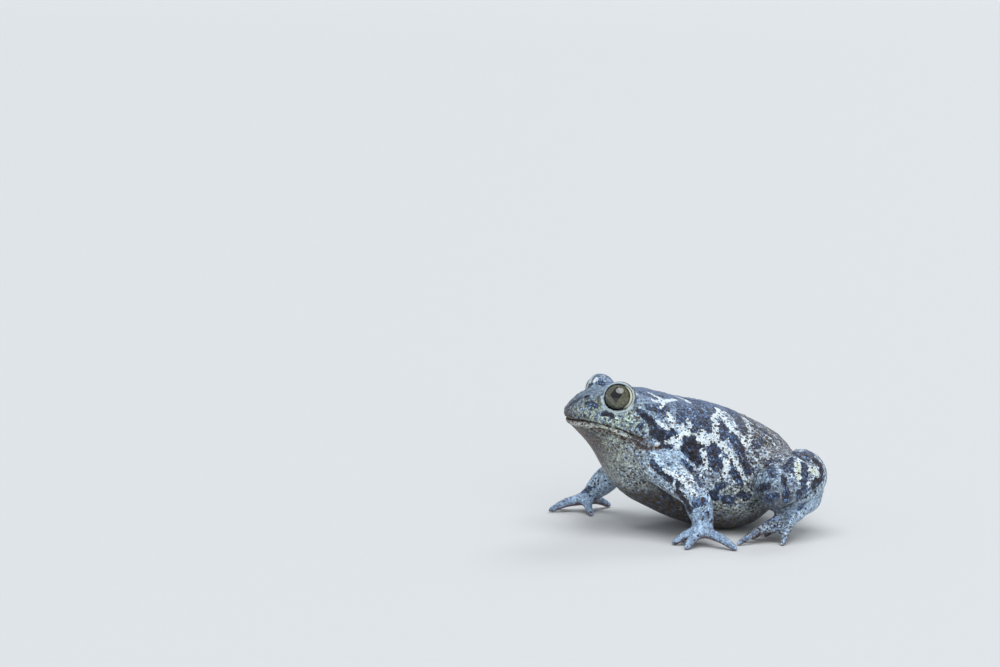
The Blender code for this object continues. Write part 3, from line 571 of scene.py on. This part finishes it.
# Streaks over the middle of the back, on one side only
midStreaks = [
    [(-5.6, -16, 37.2, 0.3), (-3.8, -11.5, 36.8, 0.9), (-5.4, -7, 35.4, 0.3)],
    [(-9.6, -4.5, 33.8, 0.3), (-7.4, -1.5, 34.2, 0.9), (-4, 0.5, 34, 0.9), (-3, 4, 33.2, 0.2)],
    [(-1.4, 7, 32.4, 0.2), (-3.4, 10, 31.5, 1), (-6.8, 12.5, 30, 0.9), (-8.6, 16, 27.8, 0.2)],
    [(-5.8, 18, 27.4, 0.3), (-3.4, 20, 26.6, 0.9), (-2, 23, 24.8, 0.4)],
]
# The ground of the skin: tint, how speckled it is, how much soil lies on it, and where it is found
groundLooks = {
    "night": ((0.045, 0.065, 0.1), 0.4, 0.1, [(-1, -30, 37)]),
    "slate": ((0.09, 0.13, 0.22), 0.3, 0.1, [(6, 0, 34), (7, -16, 37)]),
    "slateGrey": ((0.23, 0.31, 0.38), 0.8, 0.15, [(-2, -26, 38), (11, -17, 35), (30, 11, 16)]),
    "pewter": ((0.19, 0.23, 0.26), 0.9, 0.4, [(14, -18, 27), (29, 12, 5)]),
    "ash": ((0.37, 0.44, 0.5), 0.9, 0.5, [(14, 2, 28), (19, 0, 17), (29, 21, 19), (26, -11, 16)]),
    "grit": ((0.27, 0.31, 0.33), 1, 0.8, [(18, 12, 20)]),
    "dust": ((0.26, 0.28, 0.28), 1, 1, [(13, 16, 24)]),
    "pebble": ((0.34, 0.38, 0.36), 0.8, 0.5, [(18, 5, 9), (12, -18, 17)]),
    "ice": ((0.36, 0.48, 0.6), 0.4, 0.2, [(19, -14, 22), (29, -8, 9), (28, 20, 8), (-28, -20, 8)]),
    "frost": ((0.25, 0.34, 0.46), 0.4, 0.2, [(30, -9, 4), (30, -6, 5), (-29, -22, 3)]),
    "olive": ((0.28, 0.34, 0.27), 0.9, 0.25, [(13, -22, 31)]),
    "moss": ((0.23, 0.28, 0.23), 0.9, 0.2, [(6, -32, 34), (10, -30, 32)]),
    # Umber darkens the underside: partly soil stain, partly painted shade under the body
    "umber": ((0.05, 0.038, 0.02), 0.5, 0.3, [(15, 5, 4), (8, -13, 9), (31, 12, 11)]),
    "cream": ((0.31, 0.33, 0.28), 0.4, 0.3, [(10, -24, 22)]),
    "clay": ((0.1, 0.065, 0.045), 0.5, 0.9, [(4, -33, 29), (4, -30, 26)]),
}
# How dark the painted shade at the bottom of each fold is
creaseShades = {
    "nostril": 1.0, "jawFold": 0.75, "mouthCorner": 0.8, "armpit": 0.6, "thighFront": 1.0,
    "kneeFold": 0.45, "footFold": 0.95,
}
# Bands along the mouth: (rise above its line, full as far as this, gone from here)
mouthBands = {"lips": (0.0, 0.22, 0.50), "stain": (0.35, 0.1, 0.9), "lowerLip": (-1.1, 0.45, 0.85)}
paintSizes = {
    "regionBlend": 4.5,
    "markReach": 9.0,
    "farShift": (0.0, 1.6, -0.8),  # the marks of the far side are the near side's, moved by this
    "darkSpread": 0.20, "paleSpread": 0.20,  # the marks reach this far past their chains
    "blackShade": (-0.6, 1.2), "crease": (0.15, 0.75),
    "foldStain": (0.3, 1.1), "stainedFolds": ("jawFold", "mouthCorner"), "stainSoil": 0.9,
    "limb": (19.0, 23.0), "palmTurn": (0.1, 0.7), "palmHeight": (3.0, 6.0),
}
warts = {
    # how many, heights, radii, and whether they are on the under side
    "kinds": [(2200, (0.06, 0.20), (0.35, 0.75), False), (900, (0.03, 0.08), (0.30, 0.50), True)],
    "underTurn": -0.25, "lowest": 7.0, "highest": 0.3, "reach": 2.2,
}


def markField(points, table, sides=(1, -1)):
    # Signed distance to the marks: less than nought inside a mark
    best = np.full(len(points), paintSizes["markReach"])
    for side in sides:
        for chain in table:
            line = np.array([mirrored(p, side) for p in chain])
            if side < 0:
                line[:, :3] += paintSizes["farShift"]
            best = np.minimum(best, lineDistance(points, line, line[:, 3]))
    return best


def addWarts(points, normals):
    # Low warts on the back and flanks, finer grains below
    draw = np.random.default_rng(randomSeed)
    tree = pointTree(points)
    lift = np.zeros(len(points))
    eyes = [mirrored(eyePlace["centre"], side) for side in (1, -1)]
    for count, heights, radii, under in warts["kinds"]:
        for k in draw.integers(0, len(points), count):
            height, radius = draw.uniform(*heights), draw.uniform(*radii)
            place = points[k]
            if min(np.linalg.norm(place - eye) for eye in eyes) < eyeSizes["eyeReach"]:
                continue
            if place[2] < warts["lowest"] or (normals[k][2] < warts["underTurn"]) != under:
                continue
            for _, index, gap in tree.find_range(place, radius * warts["reach"]):
                lift[index] += height * math.exp(-(gap / radius) ** 2)
    return points + normals * np.minimum(lift, warts["highest"])[:, None]


def paintRegions(mesh, points):
    # Ground colour, speckle and soil of each part of the body, blended softly from region to region
    gaps, looks = [], []
    for tint, speckle, soil, places in groundLooks.values():
        for place in places:
            for side in (1, -1):
                gaps.append(((points - mirrored(place, side)) ** 2).sum(axis=1))
                looks.append((*tint, speckle, soil))
    gaps = np.array(gaps)
    weights = np.exp(-(gaps - gaps.min(axis=0)) / paintSizes["regionBlend"] ** 2)
    looks = (weights.T @ np.array(looks)) / weights.sum(axis=0)[:, None]
    tints = np.column_stack([looks[:, :3], np.ones(len(points))]).astype(np.float32)
    ground = mesh.attributes.new("ground", "FLOAT_COLOR", "POINT")
    ground.data.foreach_set("color", tints.ravel())
    return looks[:, 3], looks[:, 4]


def lidFields(points):
    # How far each point belongs to the lids' pale rim, to the painted shadow in the furrow round them,
    # and to the lining behind the eyeball, which is painted as shade
    rim, furrow, well = (np.zeros(len(points)) for _ in range(3))
    for side in (1, -1):
        centre, gaze, across, up = eyeFrame(side)
        reach, angle, flat, opening = lidAngles(points, side)
        near = reach < eyeSizes["eyeReach"]
        lining = near & (reach < socket + eyeSizes["lining"])
        # The lining behind the eyeball is painted near black: painted shade
        well[lining] = 1.0
        # Millimetres from the edge of the lids, along the skin
        way = np.maximum(np.radians(angle - opening) * reach, reach - eyeSizes["edge"])
        rim = np.maximum(rim, np.where(near & ~lining, 1 - ramp(way, *eyeSizes["rim"]), 0.0))
        # A painted shadow along the furrow round the lids, on their upper part
        line = np.exp(-((way - eyeSizes["furrow"]) / eyeSizes["furrowWidth"]) ** 2)
        line *= ramp(flat @ up, *eyeSizes["furrowFade"])
        furrow = np.maximum(furrow, np.where(near & ~lining, line, 0.0))
    return rim, furrow, well


def paintFields(item):
    # The fields that the skin's material reads
    mesh = item.data
    points, normals = readPoints(mesh), readNormals(mesh)
    pale = np.minimum(markField(points, paleStreaks), markField(points, midStreaks, [1]))
    pale -= paintSizes["paleSpread"]
    blackShade = markField(points, blackShadeMarks)
    dark = np.minimum(markField(points, darkMarks), blackShade) - paintSizes["darkSpread"]
    speckle, soil = paintRegions(mesh, points)
    bands = {name: np.zeros(len(points)) for name in (*mouthBands, "crease")}
    for side in (1, -1):
        for name, (rise, full, gone) in mouthBands.items():
            gap = lineDistance(points, smoothLine(faceLine("mouth", side, rise), 30))
            bands[name] = np.maximum(bands[name], 1 - ramp(gap, full, gone))
        # Painted shade along the bottom of each fold; the folds of the jaw and the mouth's corner also carry
        # a soil stain
        for fold, amount in creaseShades.items():
            gap = lineDistance(points, smoothLine(faceLine(fold, side), 30))
            crease = amount * (1 - ramp(gap, *paintSizes["crease"]))
            bands["crease"] = np.maximum(bands["crease"], crease)
            if fold in paintSizes["stainedFolds"]:
                bands["stain"] = np.maximum(bands["stain"], 1 - ramp(gap, *paintSizes["foldStain"]))
    bands["lowerLip"] *= 1 - bands["lips"]
    limb = ramp(np.abs(points[:, 0]), *paintSizes["limb"])
    palm = ramp(-normals[:, 2], *paintSizes["palmTurn"])
    palm *= 1 - ramp(points[:, 2], *paintSizes["palmHeight"])
    rim, furrow, well = lidFields(points)
    fields = {
        "dark": np.maximum(dark, -pale), "pale": pale, "green": markField(points, greenMarks),
        "blackShade": 1 - ramp(blackShade, *paintSizes["blackShade"]), "speckle": speckle,
        "soil": np.maximum(soil, bands["stain"] * paintSizes["stainSoil"]), **bands,
        "palm": palm * limb, "rim": rim, "well": well, "lidFurrow": furrow,
    }
    for name, values in fields.items():
        field = mesh.attributes.new(name, "FLOAT", "POINT")
        field.data.foreach_set("value", values.astype(np.float32))


def fill(node, inputs):
    # Each input is linked where another node gives it, and set where it is a plain value
    for key, value in inputs.items():
        if isinstance(value, bpy.types.NodeSocket):
            node.id_data.links.new(value, node.inputs[key])
        else:
            node.inputs[key].default_value = value
    return node


def newMaterial(name):
    material = bpy.data.materials.new(name)
    material.use_nodes = True
    tree = material.node_tree

    def make(kind, inputs=None, **settings):
        node = tree.nodes.new(kind)
        for key, value in settings.items():
            setattr(node, key, value)
        return fill(node, inputs or {})
    return material, make, tree.nodes["Principled BSDF"]


def graphTools(make):
    # Short names for the nodes that every finish uses
    def calc(operation, a, b=0.0, c=0.0):
        return make("ShaderNodeMath", {0: a, 1: b, 2: c}, operation=operation).outputs[0]

    def step(value, start, end):
        return make("ShaderNodeMapRange", {"Value": value, "From Min": start, "From Max": end},
                    interpolation_type="SMOOTHSTEP").outputs["Result"]

    def blend(amount, first, second):
        return make("ShaderNodeMix", {0: amount, 6: first, 7: second}, data_type="RGBA").outputs[2]

    def grain(vector, scale, detail=2.0, roughness=0.5, distortion=0.0):
        return make("ShaderNodeTexNoise", {"Vector": vector, "Scale": scale, "Detail": detail,
                                           "Roughness": roughness, "Distortion": distortion}).outputs["Fac"]
    return calc, step, blend, grain


def colour(*parts):
    return (*parts, 1.0)


skinLook = {
    "white": colour(0.71, 0.79, 0.83), "whiteDull": colour(0.53, 0.60, 0.64),
    "green": colour(0.52, 0.58, 0.40),
    # The lighter slate is a painted highlight on the wrinkles' ridges in the blotches; the darkest slate
    # also paints the shade in their valleys and in the furrows between the granules
    "slate": colour(0.150, 0.250, 0.465), "slateHighlight": colour(0.35, 0.51, 0.76),
    # The blackest tint is partly the blotches' own colour, partly painted shade
    "slateDark": colour(0.021, 0.029, 0.055), "blackShade": colour(0.010, 0.011, 0.014),
    "speckle": colour(0.055, 0.070, 0.110),
    "soil": colour(0.030, 0.018, 0.013), "soilRed": colour(0.062, 0.037, 0.028),
    "soilPale": colour(0.26, 0.23, 0.19),
    "palm": colour(0.11, 0.035, 0.024), "lips": colour(0.075, 0.040, 0.028),
    "stain": colour(0.115, 0.062, 0.040), "lowerLip": colour(0.62, 0.62, 0.56),
    # The fold colour is painted shade at the bottom of the folds
    "crease": colour(0.020, 0.015, 0.013),
    # The furrow colour round the lids is a painted shadow
    "rim": colour(0.36, 0.43, 0.45), "lidFurrow": colour(0.040, 0.034, 0.034),
    # The well colour is painted shade for the lining behind the eyeball
    "well": colour(0.006, 0.005, 0.005), "tip": colour(0.70, 0.72, 0.42),
    "granules": 1.45,  # granules to the millimetre
    "coarse": 0.40, "medium": 0.85, "fine": 1.8, "tiny": 3.3,  # scales of the clouds and specks
    "brighter": 2.4,  # the paler granules against the ground
    "bareWhite": -0.88,  # the streaks carry few specks
    # how many cells to the millimetre, smallest and largest grain
    "tips": (0.55, 0.18, 0.36), "crumbs": (1.15, 0.22, 0.46), "fineCrumbs": (2.1, 0.12, 0.25),
    "wrinkleLie": -58.0, "wrinkleStretch": (0.75, 1.7, 0.75),
    "wet": (-0.14, 0.16), "roughness": 0.46, "specular": 0.32, "coat": (0.06, 0.20),
    "bump": 0.50, "bumpStrength": 0.9,
    # how strongly each field covers what lies below it, in this order
    "cover": {"lips": 0.80, "crease": 1.0, "rim": 0.85, "lidFurrow": 0.9, "palm": 0.8},
}


def skinMaterial():
    material, make, shader = newMaterial("toadSkin")
    calc, step, blend, grain = graphTools(make)
    place = make("ShaderNodeTexCoord").outputs["Object"]
    place = make("ShaderNodeVectorMath", {0: place, 1: [1 / mm] * 3}, operation="MULTIPLY").outputs[0]

    def field(name, output="Fac"):
        return make("ShaderNodeAttribute", attribute_name=name).outputs[output]

    def over(amount, below, name):
        return blend(amount, below, skinLook[name])

    def times(a, b):
        return calc("MULTIPLY", a, b)

    def scaled(tint, amount):
        return make("ShaderNodeVectorMath", {0: tint, "Scale": amount}, operation="SCALE").outputs[0]

    def grains(name, chances):
        # Round grains in a Voronoi cell each, of random size, present by chance
        scale, low, high = skinLook[name]
        cells = make("ShaderNodeTexVoronoi", {"Vector": place, "Scale": scale, "Randomness": 1.0})
        draws = make("ShaderNodeSeparateColor", {0: cells.outputs["Color"]}).outputs
        size = calc("MULTIPLY_ADD", draws[1], (high - low) * scale, low * scale)
        dots = calc("LESS_THAN", cells.outputs["Distance"], size)
        return times(dots, calc("LESS_THAN", draws[0], chances)), draws[2]

    coarse, medium, fine = (grain(place, skinLook[scale]) for scale in ("coarse", "medium", "fine"))
    speckle, soil = field("speckle"), field("soil")
    # The skin's granules: their own shades, and the furrows between them
    granules = make("ShaderNodeTexVoronoi", {"Vector": place, "Scale": skinLook["granules"]})
    pimples = granules.outputs["Distance"]
    shades = make("ShaderNodeSeparateColor", {0: granules.outputs["Color"]}).outputs
    # The ground: each region's own tint, clouded and speckled
    cloud = make("ShaderNodeMapRange", {"Value": coarse, "From Min": 0.32, "From Max": 0.68,
                                        "To Min": 0.72, "To Max": 1.25}).outputs["Result"]
    tint = scaled(field("ground", "Color"), cloud)
    mottle = times(step(medium, 0.50, 0.62), calc("MULTIPLY_ADD", speckle, 0.5, 0.06))
    tint = over(mottle, tint, "slate")
    paler = scaled(tint, skinLook["brighter"])
    light = times(step(grain(place, 1.1, 3.0), 0.50, 0.57), times(speckle, 0.9))
    light = calc("MAXIMUM", light, times(step(shades[0], 0.62, 0.78), times(speckle, 0.7)))
    tint = blend(light, tint, paler)
    greenEdge = calc("MULTIPLY_ADD", calc("SUBTRACT", fine, 0.5), 2.2, field("green"))
    # Pale streaks and dark blotches: noise of two sizes breaks up the marks' edges
    ragged = times(calc("SUBTRACT", fine, 0.5), 1.2)
    ragged = calc("MULTIPLY_ADD", calc("SUBTRACT", medium, 0.5), 1.2, ragged)
    chalk = blend(step(grain(place, 1.0, 2.0), 0.38, 0.58), skinLook["whiteDull"], skinLook["white"])
    streak = step(calc("ADD", field("pale"), ragged), 0.12, -0.08)
    tint = blend(streak, tint, chalk)
    tint = over(times(step(greenEdge, 0.15, -0.35), 0.75), tint, "green")
    lie = make("ShaderNodeMapping", {
        "Vector": place, "Rotation": (math.radians(skinLook["wrinkleLie"]), 0.0, 0.0),
        "Scale": skinLook["wrinkleStretch"]}, vector_type="TEXTURE").outputs["Vector"]
    wrinkle = calc("ABSOLUTE", calc("MULTIPLY_ADD", grain(lie, 0.80, 2.0, 0.5, 0.8), 2.0, -1.0))
    # In the blotches the wrinkles' valleys are painted shade in the darkest slate, and their ridges a
    # painted highlight in the lighter slate
    ink = blend(step(wrinkle, 0.04, 0.20), skinLook["slateDark"], skinLook["slate"])
    ink = over(times(step(shades[1], 0.55, 0.85), step(wrinkle, 0.10, 0.40)), ink, "slateHighlight")
    ink = over(times(step(shades[2], 0.62, 0.80), 0.75), ink, "slateDark")
    # Blackened blotches: partly their own colour, partly painted shade on those of the sides
    ink = over(times(field("blackShade"), step(grain(place, 0.7, 2.0), 0.36, 0.52)), ink, "blackShade")
    edge = calc("SUBTRACT", field("dark"), ragged)
    inked = step(edge, 0.10, -0.10)
    tint = blend(inked, tint, ink)
    # Fine dark specks, thickest where the regions say; the last kind darkens the furrows between the
    # granules, which is painted shade
    bare = calc("MULTIPLY_ADD", streak, skinLook["bareWhite"], 1.0)
    for specks, gain, least, name in (
            (step(grain(place, 1.3, 3.0), 0.55, 0.60), 0.9, 0.05, "speckle"),
            (step(grain(place, skinLook["tiny"], 1.0), 0.60, 0.66), 0.8, 0.10, "slateDark"),
            (step(pimples, 0.42, 0.72), 0.5, 0.12, "slateDark")):
        specks = times(specks, times(bare, calc("MULTIPLY_ADD", speckle, gain, least)))
        tint = over(specks, tint, name)
    tips, _ = grains("tips", times(inked, 0.05))
    tint = over(tips, tint, "tip")
    # Lips, painted shade along the folds, the lids' pale rim and the painted shadow in the furrow round
    # them, and palms
    tint = over(times(field("stain"), times(step(medium, 0.36, 0.56), 0.75)), tint, "stain")
    tint = over(times(field("lowerLip"), step(fine, 0.34, 0.5)), tint, "lowerLip")
    for name, amount in skinLook["cover"].items():
        tint = over(times(field(name), amount), tint, name)
    # Soil: dust, and grains of two sizes
    clean = calc("SUBTRACT", 1.0, calc("MAXIMUM", field("rim"), field("well")))
    dust = times(times(soil, step(medium, 0.46, 0.62)), 0.12)
    tint = over(dust, tint, "soilRed")
    dots, hue = grains("crumbs", times(soil, clean))
    crumb = blend(step(hue, 0.45, 0.60), skinLook["soil"], skinLook["soilRed"])
    crumb = over(step(hue, 0.90, 0.93), crumb, "soilPale")
    tint = blend(times(dots, 0.92), tint, crumb)
    smallDots, hue = grains("fineCrumbs", times(soil, clean))
    crumb = blend(step(hue, 0.55, 0.65), skinLook["soil"], skinLook["soilRed"])
    tint = blend(times(smallDots, 0.9), tint, crumb)
    # The lining behind the eyeball is painted near black: painted shade
    tint = over(field("well"), tint, "well")
    wettest, driest = (skinLook["roughness"] + more for more in skinLook["wet"])
    wet = make("ShaderNodeMapRange", {"Value": fine, "To Min": wettest, "To Max": driest}).outputs["Result"]
    height = calc("MULTIPLY_ADD", pimples, -0.8, 0.8)
    height = calc("MULTIPLY_ADD", grain(place, 3.0, 3.0, 0.6, 0.5), 0.45, height)
    height = calc("MULTIPLY_ADD", times(step(wrinkle, 0.0, 0.30), inked), 0.8, height)
    height = calc("MULTIPLY_ADD", dots, 0.6, height)
    height = times(height, calc("MULTIPLY_ADD", field("rim"), -0.8, 1.0))
    bump = make("ShaderNodeBump", {"Height": height, "Strength": skinLook["bumpStrength"],
                                   "Distance": skinLook["bump"] * mm}).outputs["Normal"]
    fill(shader, {"Base Color": tint, "Roughness": wet, "Specular IOR Level": skinLook["specular"],
                  "Coat Weight": skinLook["coat"][0], "Coat Roughness": skinLook["coat"][1], "Normal": bump})
    return material


# The eyes: moist balls behind the lids, with an upright pupil
irisLook = {
    "radius": 3.22, "pupil": (1.65, 2.40), "pupilPlace": (-0.15, 0.25),
    "iris": colour(0.032, 0.034, 0.018), "irisLight": colour(0.115, 0.112, 0.060),
    "pupilColour": colour(0.003, 0.003, 0.005), "rim": colour(0.006, 0.005, 0.005),
    "white": colour(0.62, 0.62, 0.42), "whiteFrom": (1.4, 2.2),  # only behind the iris
    "rhomb": 0.95,  # the pupil's sides: 1 is straight, less is hollow
    "roughness": 0.12, "coatRoughness": 0.09,
    "corneaRise": 0.10, "corneaTurn": 52.0,
}


def eyeMaterial():
    material, make, shader = newMaterial("moistEye")
    calc, step, blend, grain = graphTools(make)
    flat = make("ShaderNodeUVMap", uv_map="eyeMap").outputs["UV"]
    span = 2 * eyeSizes["radius"]
    flat = make("ShaderNodeMapping", {"Vector": flat, "Location": (-span / 2, -span / 2, 0.0),
                                      "Scale": (span, span, 1.0)}).outputs["Vector"]
    x, y, _ = make("ShaderNodeSeparateXYZ", {0: flat}).outputs
    reach = make("ShaderNodeVectorMath", {0: flat}, operation="LENGTH").outputs["Value"]
    ray = make("ShaderNodeVectorMath", {0: flat}, operation="NORMALIZE").outputs[0]
    ray = make("ShaderNodeSeparateXYZ", {0: ray}).outputs
    ray = make("ShaderNodeCombineXYZ", {0: ray[0], 1: ray[1], 2: calc("MULTIPLY", reach, 0.35)}).outputs[0]
    rays, clouds = grain(ray, 5.0, 4.0, 0.65), grain(flat, 2.2, 4.0, 0.6, 0.4)
    gold = calc("ADD", calc("MULTIPLY", rays, 0.5), calc("MULTIPLY", clouds, 0.6))
    tint = blend(step(gold, 0.42, 0.72), irisLook["iris"], irisLook["irisLight"])
    aside = []
    for value, shift, reachOut in zip((x, y), irisLook["pupilPlace"], irisLook["pupil"]):
        part = calc("DIVIDE", calc("ABSOLUTE", calc("SUBTRACT", value, shift)), reachOut)
        aside.append(calc("POWER", part, irisLook["rhomb"]))
    rhomb = calc("ADD", *aside)
    tint = blend(calc("MULTIPLY", step(rhomb, 1.35, 1.05), 0.35), tint, irisLook["irisLight"])
    tint = blend(step(rhomb, 1.06, 0.96), tint, irisLook["pupilColour"])
    ring = irisLook["radius"]
    tint = blend(step(reach, ring - 0.40, ring - 0.12), tint, irisLook["rim"])
    white = calc("MULTIPLY", step(reach, ring + 0.02, ring + 0.14), step(x, *irisLook["whiteFrom"]))
    tint = blend(white, tint, irisLook["white"])
    fill(shader, {"Base Color": tint, "Roughness": irisLook["roughness"], "Coat Weight": 1.0,
                  "Coat Roughness": irisLook["coatRoughness"]})
    return material


def makeEye(name, side, material):
    # An eyeball with a slightly raised cornea; its map lies flat across the gaze
    centre, gaze, across, up = eyeFrame(side)
    radius = eyeSizes["radius"]
    work = bmesh.new()
    bmesh.ops.create_uvsphere(work, u_segments=96, v_segments=72, radius=radius)
    for v in work.verts:
        angle = math.degrees(math.acos(max(-1.0, min(1.0, v.co.z / radius))))
        rise = irisLook["corneaRise"] * max(0.0, 1 - (angle / irisLook["corneaTurn"]) ** 2)
        v.co *= (radius + rise) / radius
    layer = work.loops.layers.uv.new("eyeMap")
    for face in work.faces:
        face.smooth = True
        for loop in face.loops:
            x, y = loop.vert.co.xy
            loop[layer].uv = (side * x / (2 * radius) + 0.5, y / (2 * radius) + 0.5)
    turned = Matrix((across, up, gaze)).transposed().to_4x4()
    bmesh.ops.transform(work, matrix=Matrix.Scale(mm, 4) @ turned, verts=work.verts)
    bmesh.ops.translate(work, verts=work.verts, vec=bodyPlace(centre))
    bmesh.ops.recalc_face_normals(work, faces=work.faces)
    return newObject(name, finishMesh(work, name), material)


# The digging spades: horny blades on the inner edges of the hind feet
spadeSizes = {
    "base": (25.6, 20.2, 7.6), "tip": (20.6, 13.6, 0.55), "offset": (-2.5, -1.6, -3.2),
    "length": 4.8, "height": 2.6, "thickness": 1.1, "edge": 0.35,
    "horn": colour(0.50, 0.40, 0.24), "hornDark": colour(0.20, 0.13, 0.07), "roughness": 0.36,
    "lines": (900.0, 900.0, 2600.0), "bump": 0.05,
}


def spadeMaterial():
    material, make, shader = newMaterial("spadeHorn")
    calc, step, blend, grain = graphTools(make)
    place = make("ShaderNodeTexCoord").outputs["Object"]
    place = make("ShaderNodeMapping", {"Vector": place, "Scale": spadeSizes["lines"]}).outputs["Vector"]
    lines = grain(place, 1.0, 3.0)
    tint = blend(step(lines, 0.35, 0.7), spadeSizes["horn"], spadeSizes["hornDark"])
    bump = make("ShaderNodeBump", {"Height": lines, "Strength": 0.5,
                                   "Distance": spadeSizes["bump"] * mm}).outputs["Normal"]
    fill(shader, {"Base Color": tint, "Roughness": spadeSizes["roughness"], "Normal": bump})
    return material


def makeSpade(name, side, material):
    # A digging blade, thick at its root and thinned to its lower edge
    base, tip = (Vector(mirrored(spadeSizes[k], side)) for k in ("base", "tip"))
    along = (tip - base).normalized()
    centre = base + Vector(mirrored(spadeSizes["offset"], side))
    work = bmesh.new()
    bmesh.ops.create_uvsphere(work, u_segments=48, v_segments=28, radius=1.0)
    half = Vector((spadeSizes["length"], spadeSizes["thickness"], spadeSizes["height"])) / 2
    for v in work.verts:
        thin = 1.0 - (1.0 - spadeSizes["edge"]) * max(0.0, -v.co.z)
        v.co = Vector((v.co.x * half.x, v.co.y * half.y * thin, v.co.z * half.z))
    turned = along.to_track_quat("X", "Z").to_matrix().to_4x4()
    bmesh.ops.transform(work, matrix=turned, verts=work.verts)
    bmesh.ops.translate(work, verts=work.verts, vec=centre + Vector(bodyShift))
    bmesh.ops.scale(work, verts=work.verts, vec=(mm, mm, mm))
    for face in work.faces:
        face.smooth = True
    return newObject(name, finishMesh(work, name), material)


# Floor and light
studio = {
    # Far out the floor rises, so that no skyline shows. These are in metres
    "floorSize": 120.0, "floorCells": 48, "levelReach": 10.0, "rimHeight": 3.0,
    "floor": colour(0.57, 0.57, 0.56), "floorRoughness": 0.85,
    "sky": colour(0.80, 0.88, 1.0), "skyStrength": 0.42,
    "aim": (0.0, 0.0, 0.02),
    # where each comes from, width in degrees, strength, colour, whether it shows in wet surfaces
    "lights": {
        "overhead": ((0.30, -0.07, 0.84), 53.0, 2.35, (0.94, 0.97, 1.0), True),
        "side": ((0.80, -0.10, 0.34), 43.0, 1.58, (0.95, 0.98, 1.0), False),
        "back": ((-0.45, 0.40, 0.50), 25.0, 0.69, (0.93, 0.97, 1.0), True),
    },
}


def makeFloor():
    work = bmesh.new()
    half = studio["floorSize"] / 2
    cells = studio["floorCells"]
    bmesh.ops.create_grid(work, x_segments=cells, y_segments=cells, size=half)
    for v in work.verts:
        away = max(0.0, v.co.length - studio["levelReach"]) / (half - studio["levelReach"])
        v.co.z = studio["rimHeight"] * away ** 2
    material, make, shader = newMaterial("paleFloor")
    fill(shader, {"Base Color": studio["floor"], "Roughness": studio["floorRoughness"]})
    floor = newObject("floor", finishMesh(work, "floor"), material)


def makeLights():
    world = bpy.data.worlds.new("studioSky")
    world.use_nodes = True
    fill(world.node_tree.nodes["Background"], {"Color": studio["sky"], "Strength": studio["skyStrength"]})
    bpy.context.scene.world = world
    bpy.context.scene.view_settings.view_transform = "Standard"
    for name, (place, width, strength, tint, shine) in studio["lights"].items():
        lamp = bpy.data.lights.new(name, "SUN")
        lamp.angle, lamp.energy, lamp.color = math.radians(width), strength, tint
        holder = newObject(name, lamp)
        holder.location = place
        holder.visible_glossy = shine
        way = Vector(studio["aim"]) - Vector(place)
        holder.rotation_euler = way.to_track_quat("-Z", "Y").to_euler()


# Making and placing every piece
skin = shapeSkin(knitSkin(gatherFlesh()))
mesh = skin.data
writePoints(mesh, addWarts(readPoints(mesh), readNormals(mesh)))
paintFields(skin)
mesh.shade_smooth()
mesh.materials.append(skinMaterial())
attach(skin, "root")
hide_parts(*skinSizes["nodes"])
triangles = sum(len(face.vertices) - 2 for face in mesh.polygons)
print("skin done:", len(mesh.vertices), "points,", triangles, "triangles")

eyeFinish, hornFinish = eyeMaterial(), spadeMaterial()
for word, side in (("left", 1), ("right", -1)):
    eye = makeEye("eyeball_" + word, side, eyeFinish)
    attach(eye, "root")
    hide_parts("eye_" + word)
    spade = makeSpade("spadeBlade_" + word, side, hornFinish)
    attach(spade, "root")
    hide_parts("spade_" + word)
print("eyes and spades done")

makeFloor()
makeLights()
print("floor and lights done")
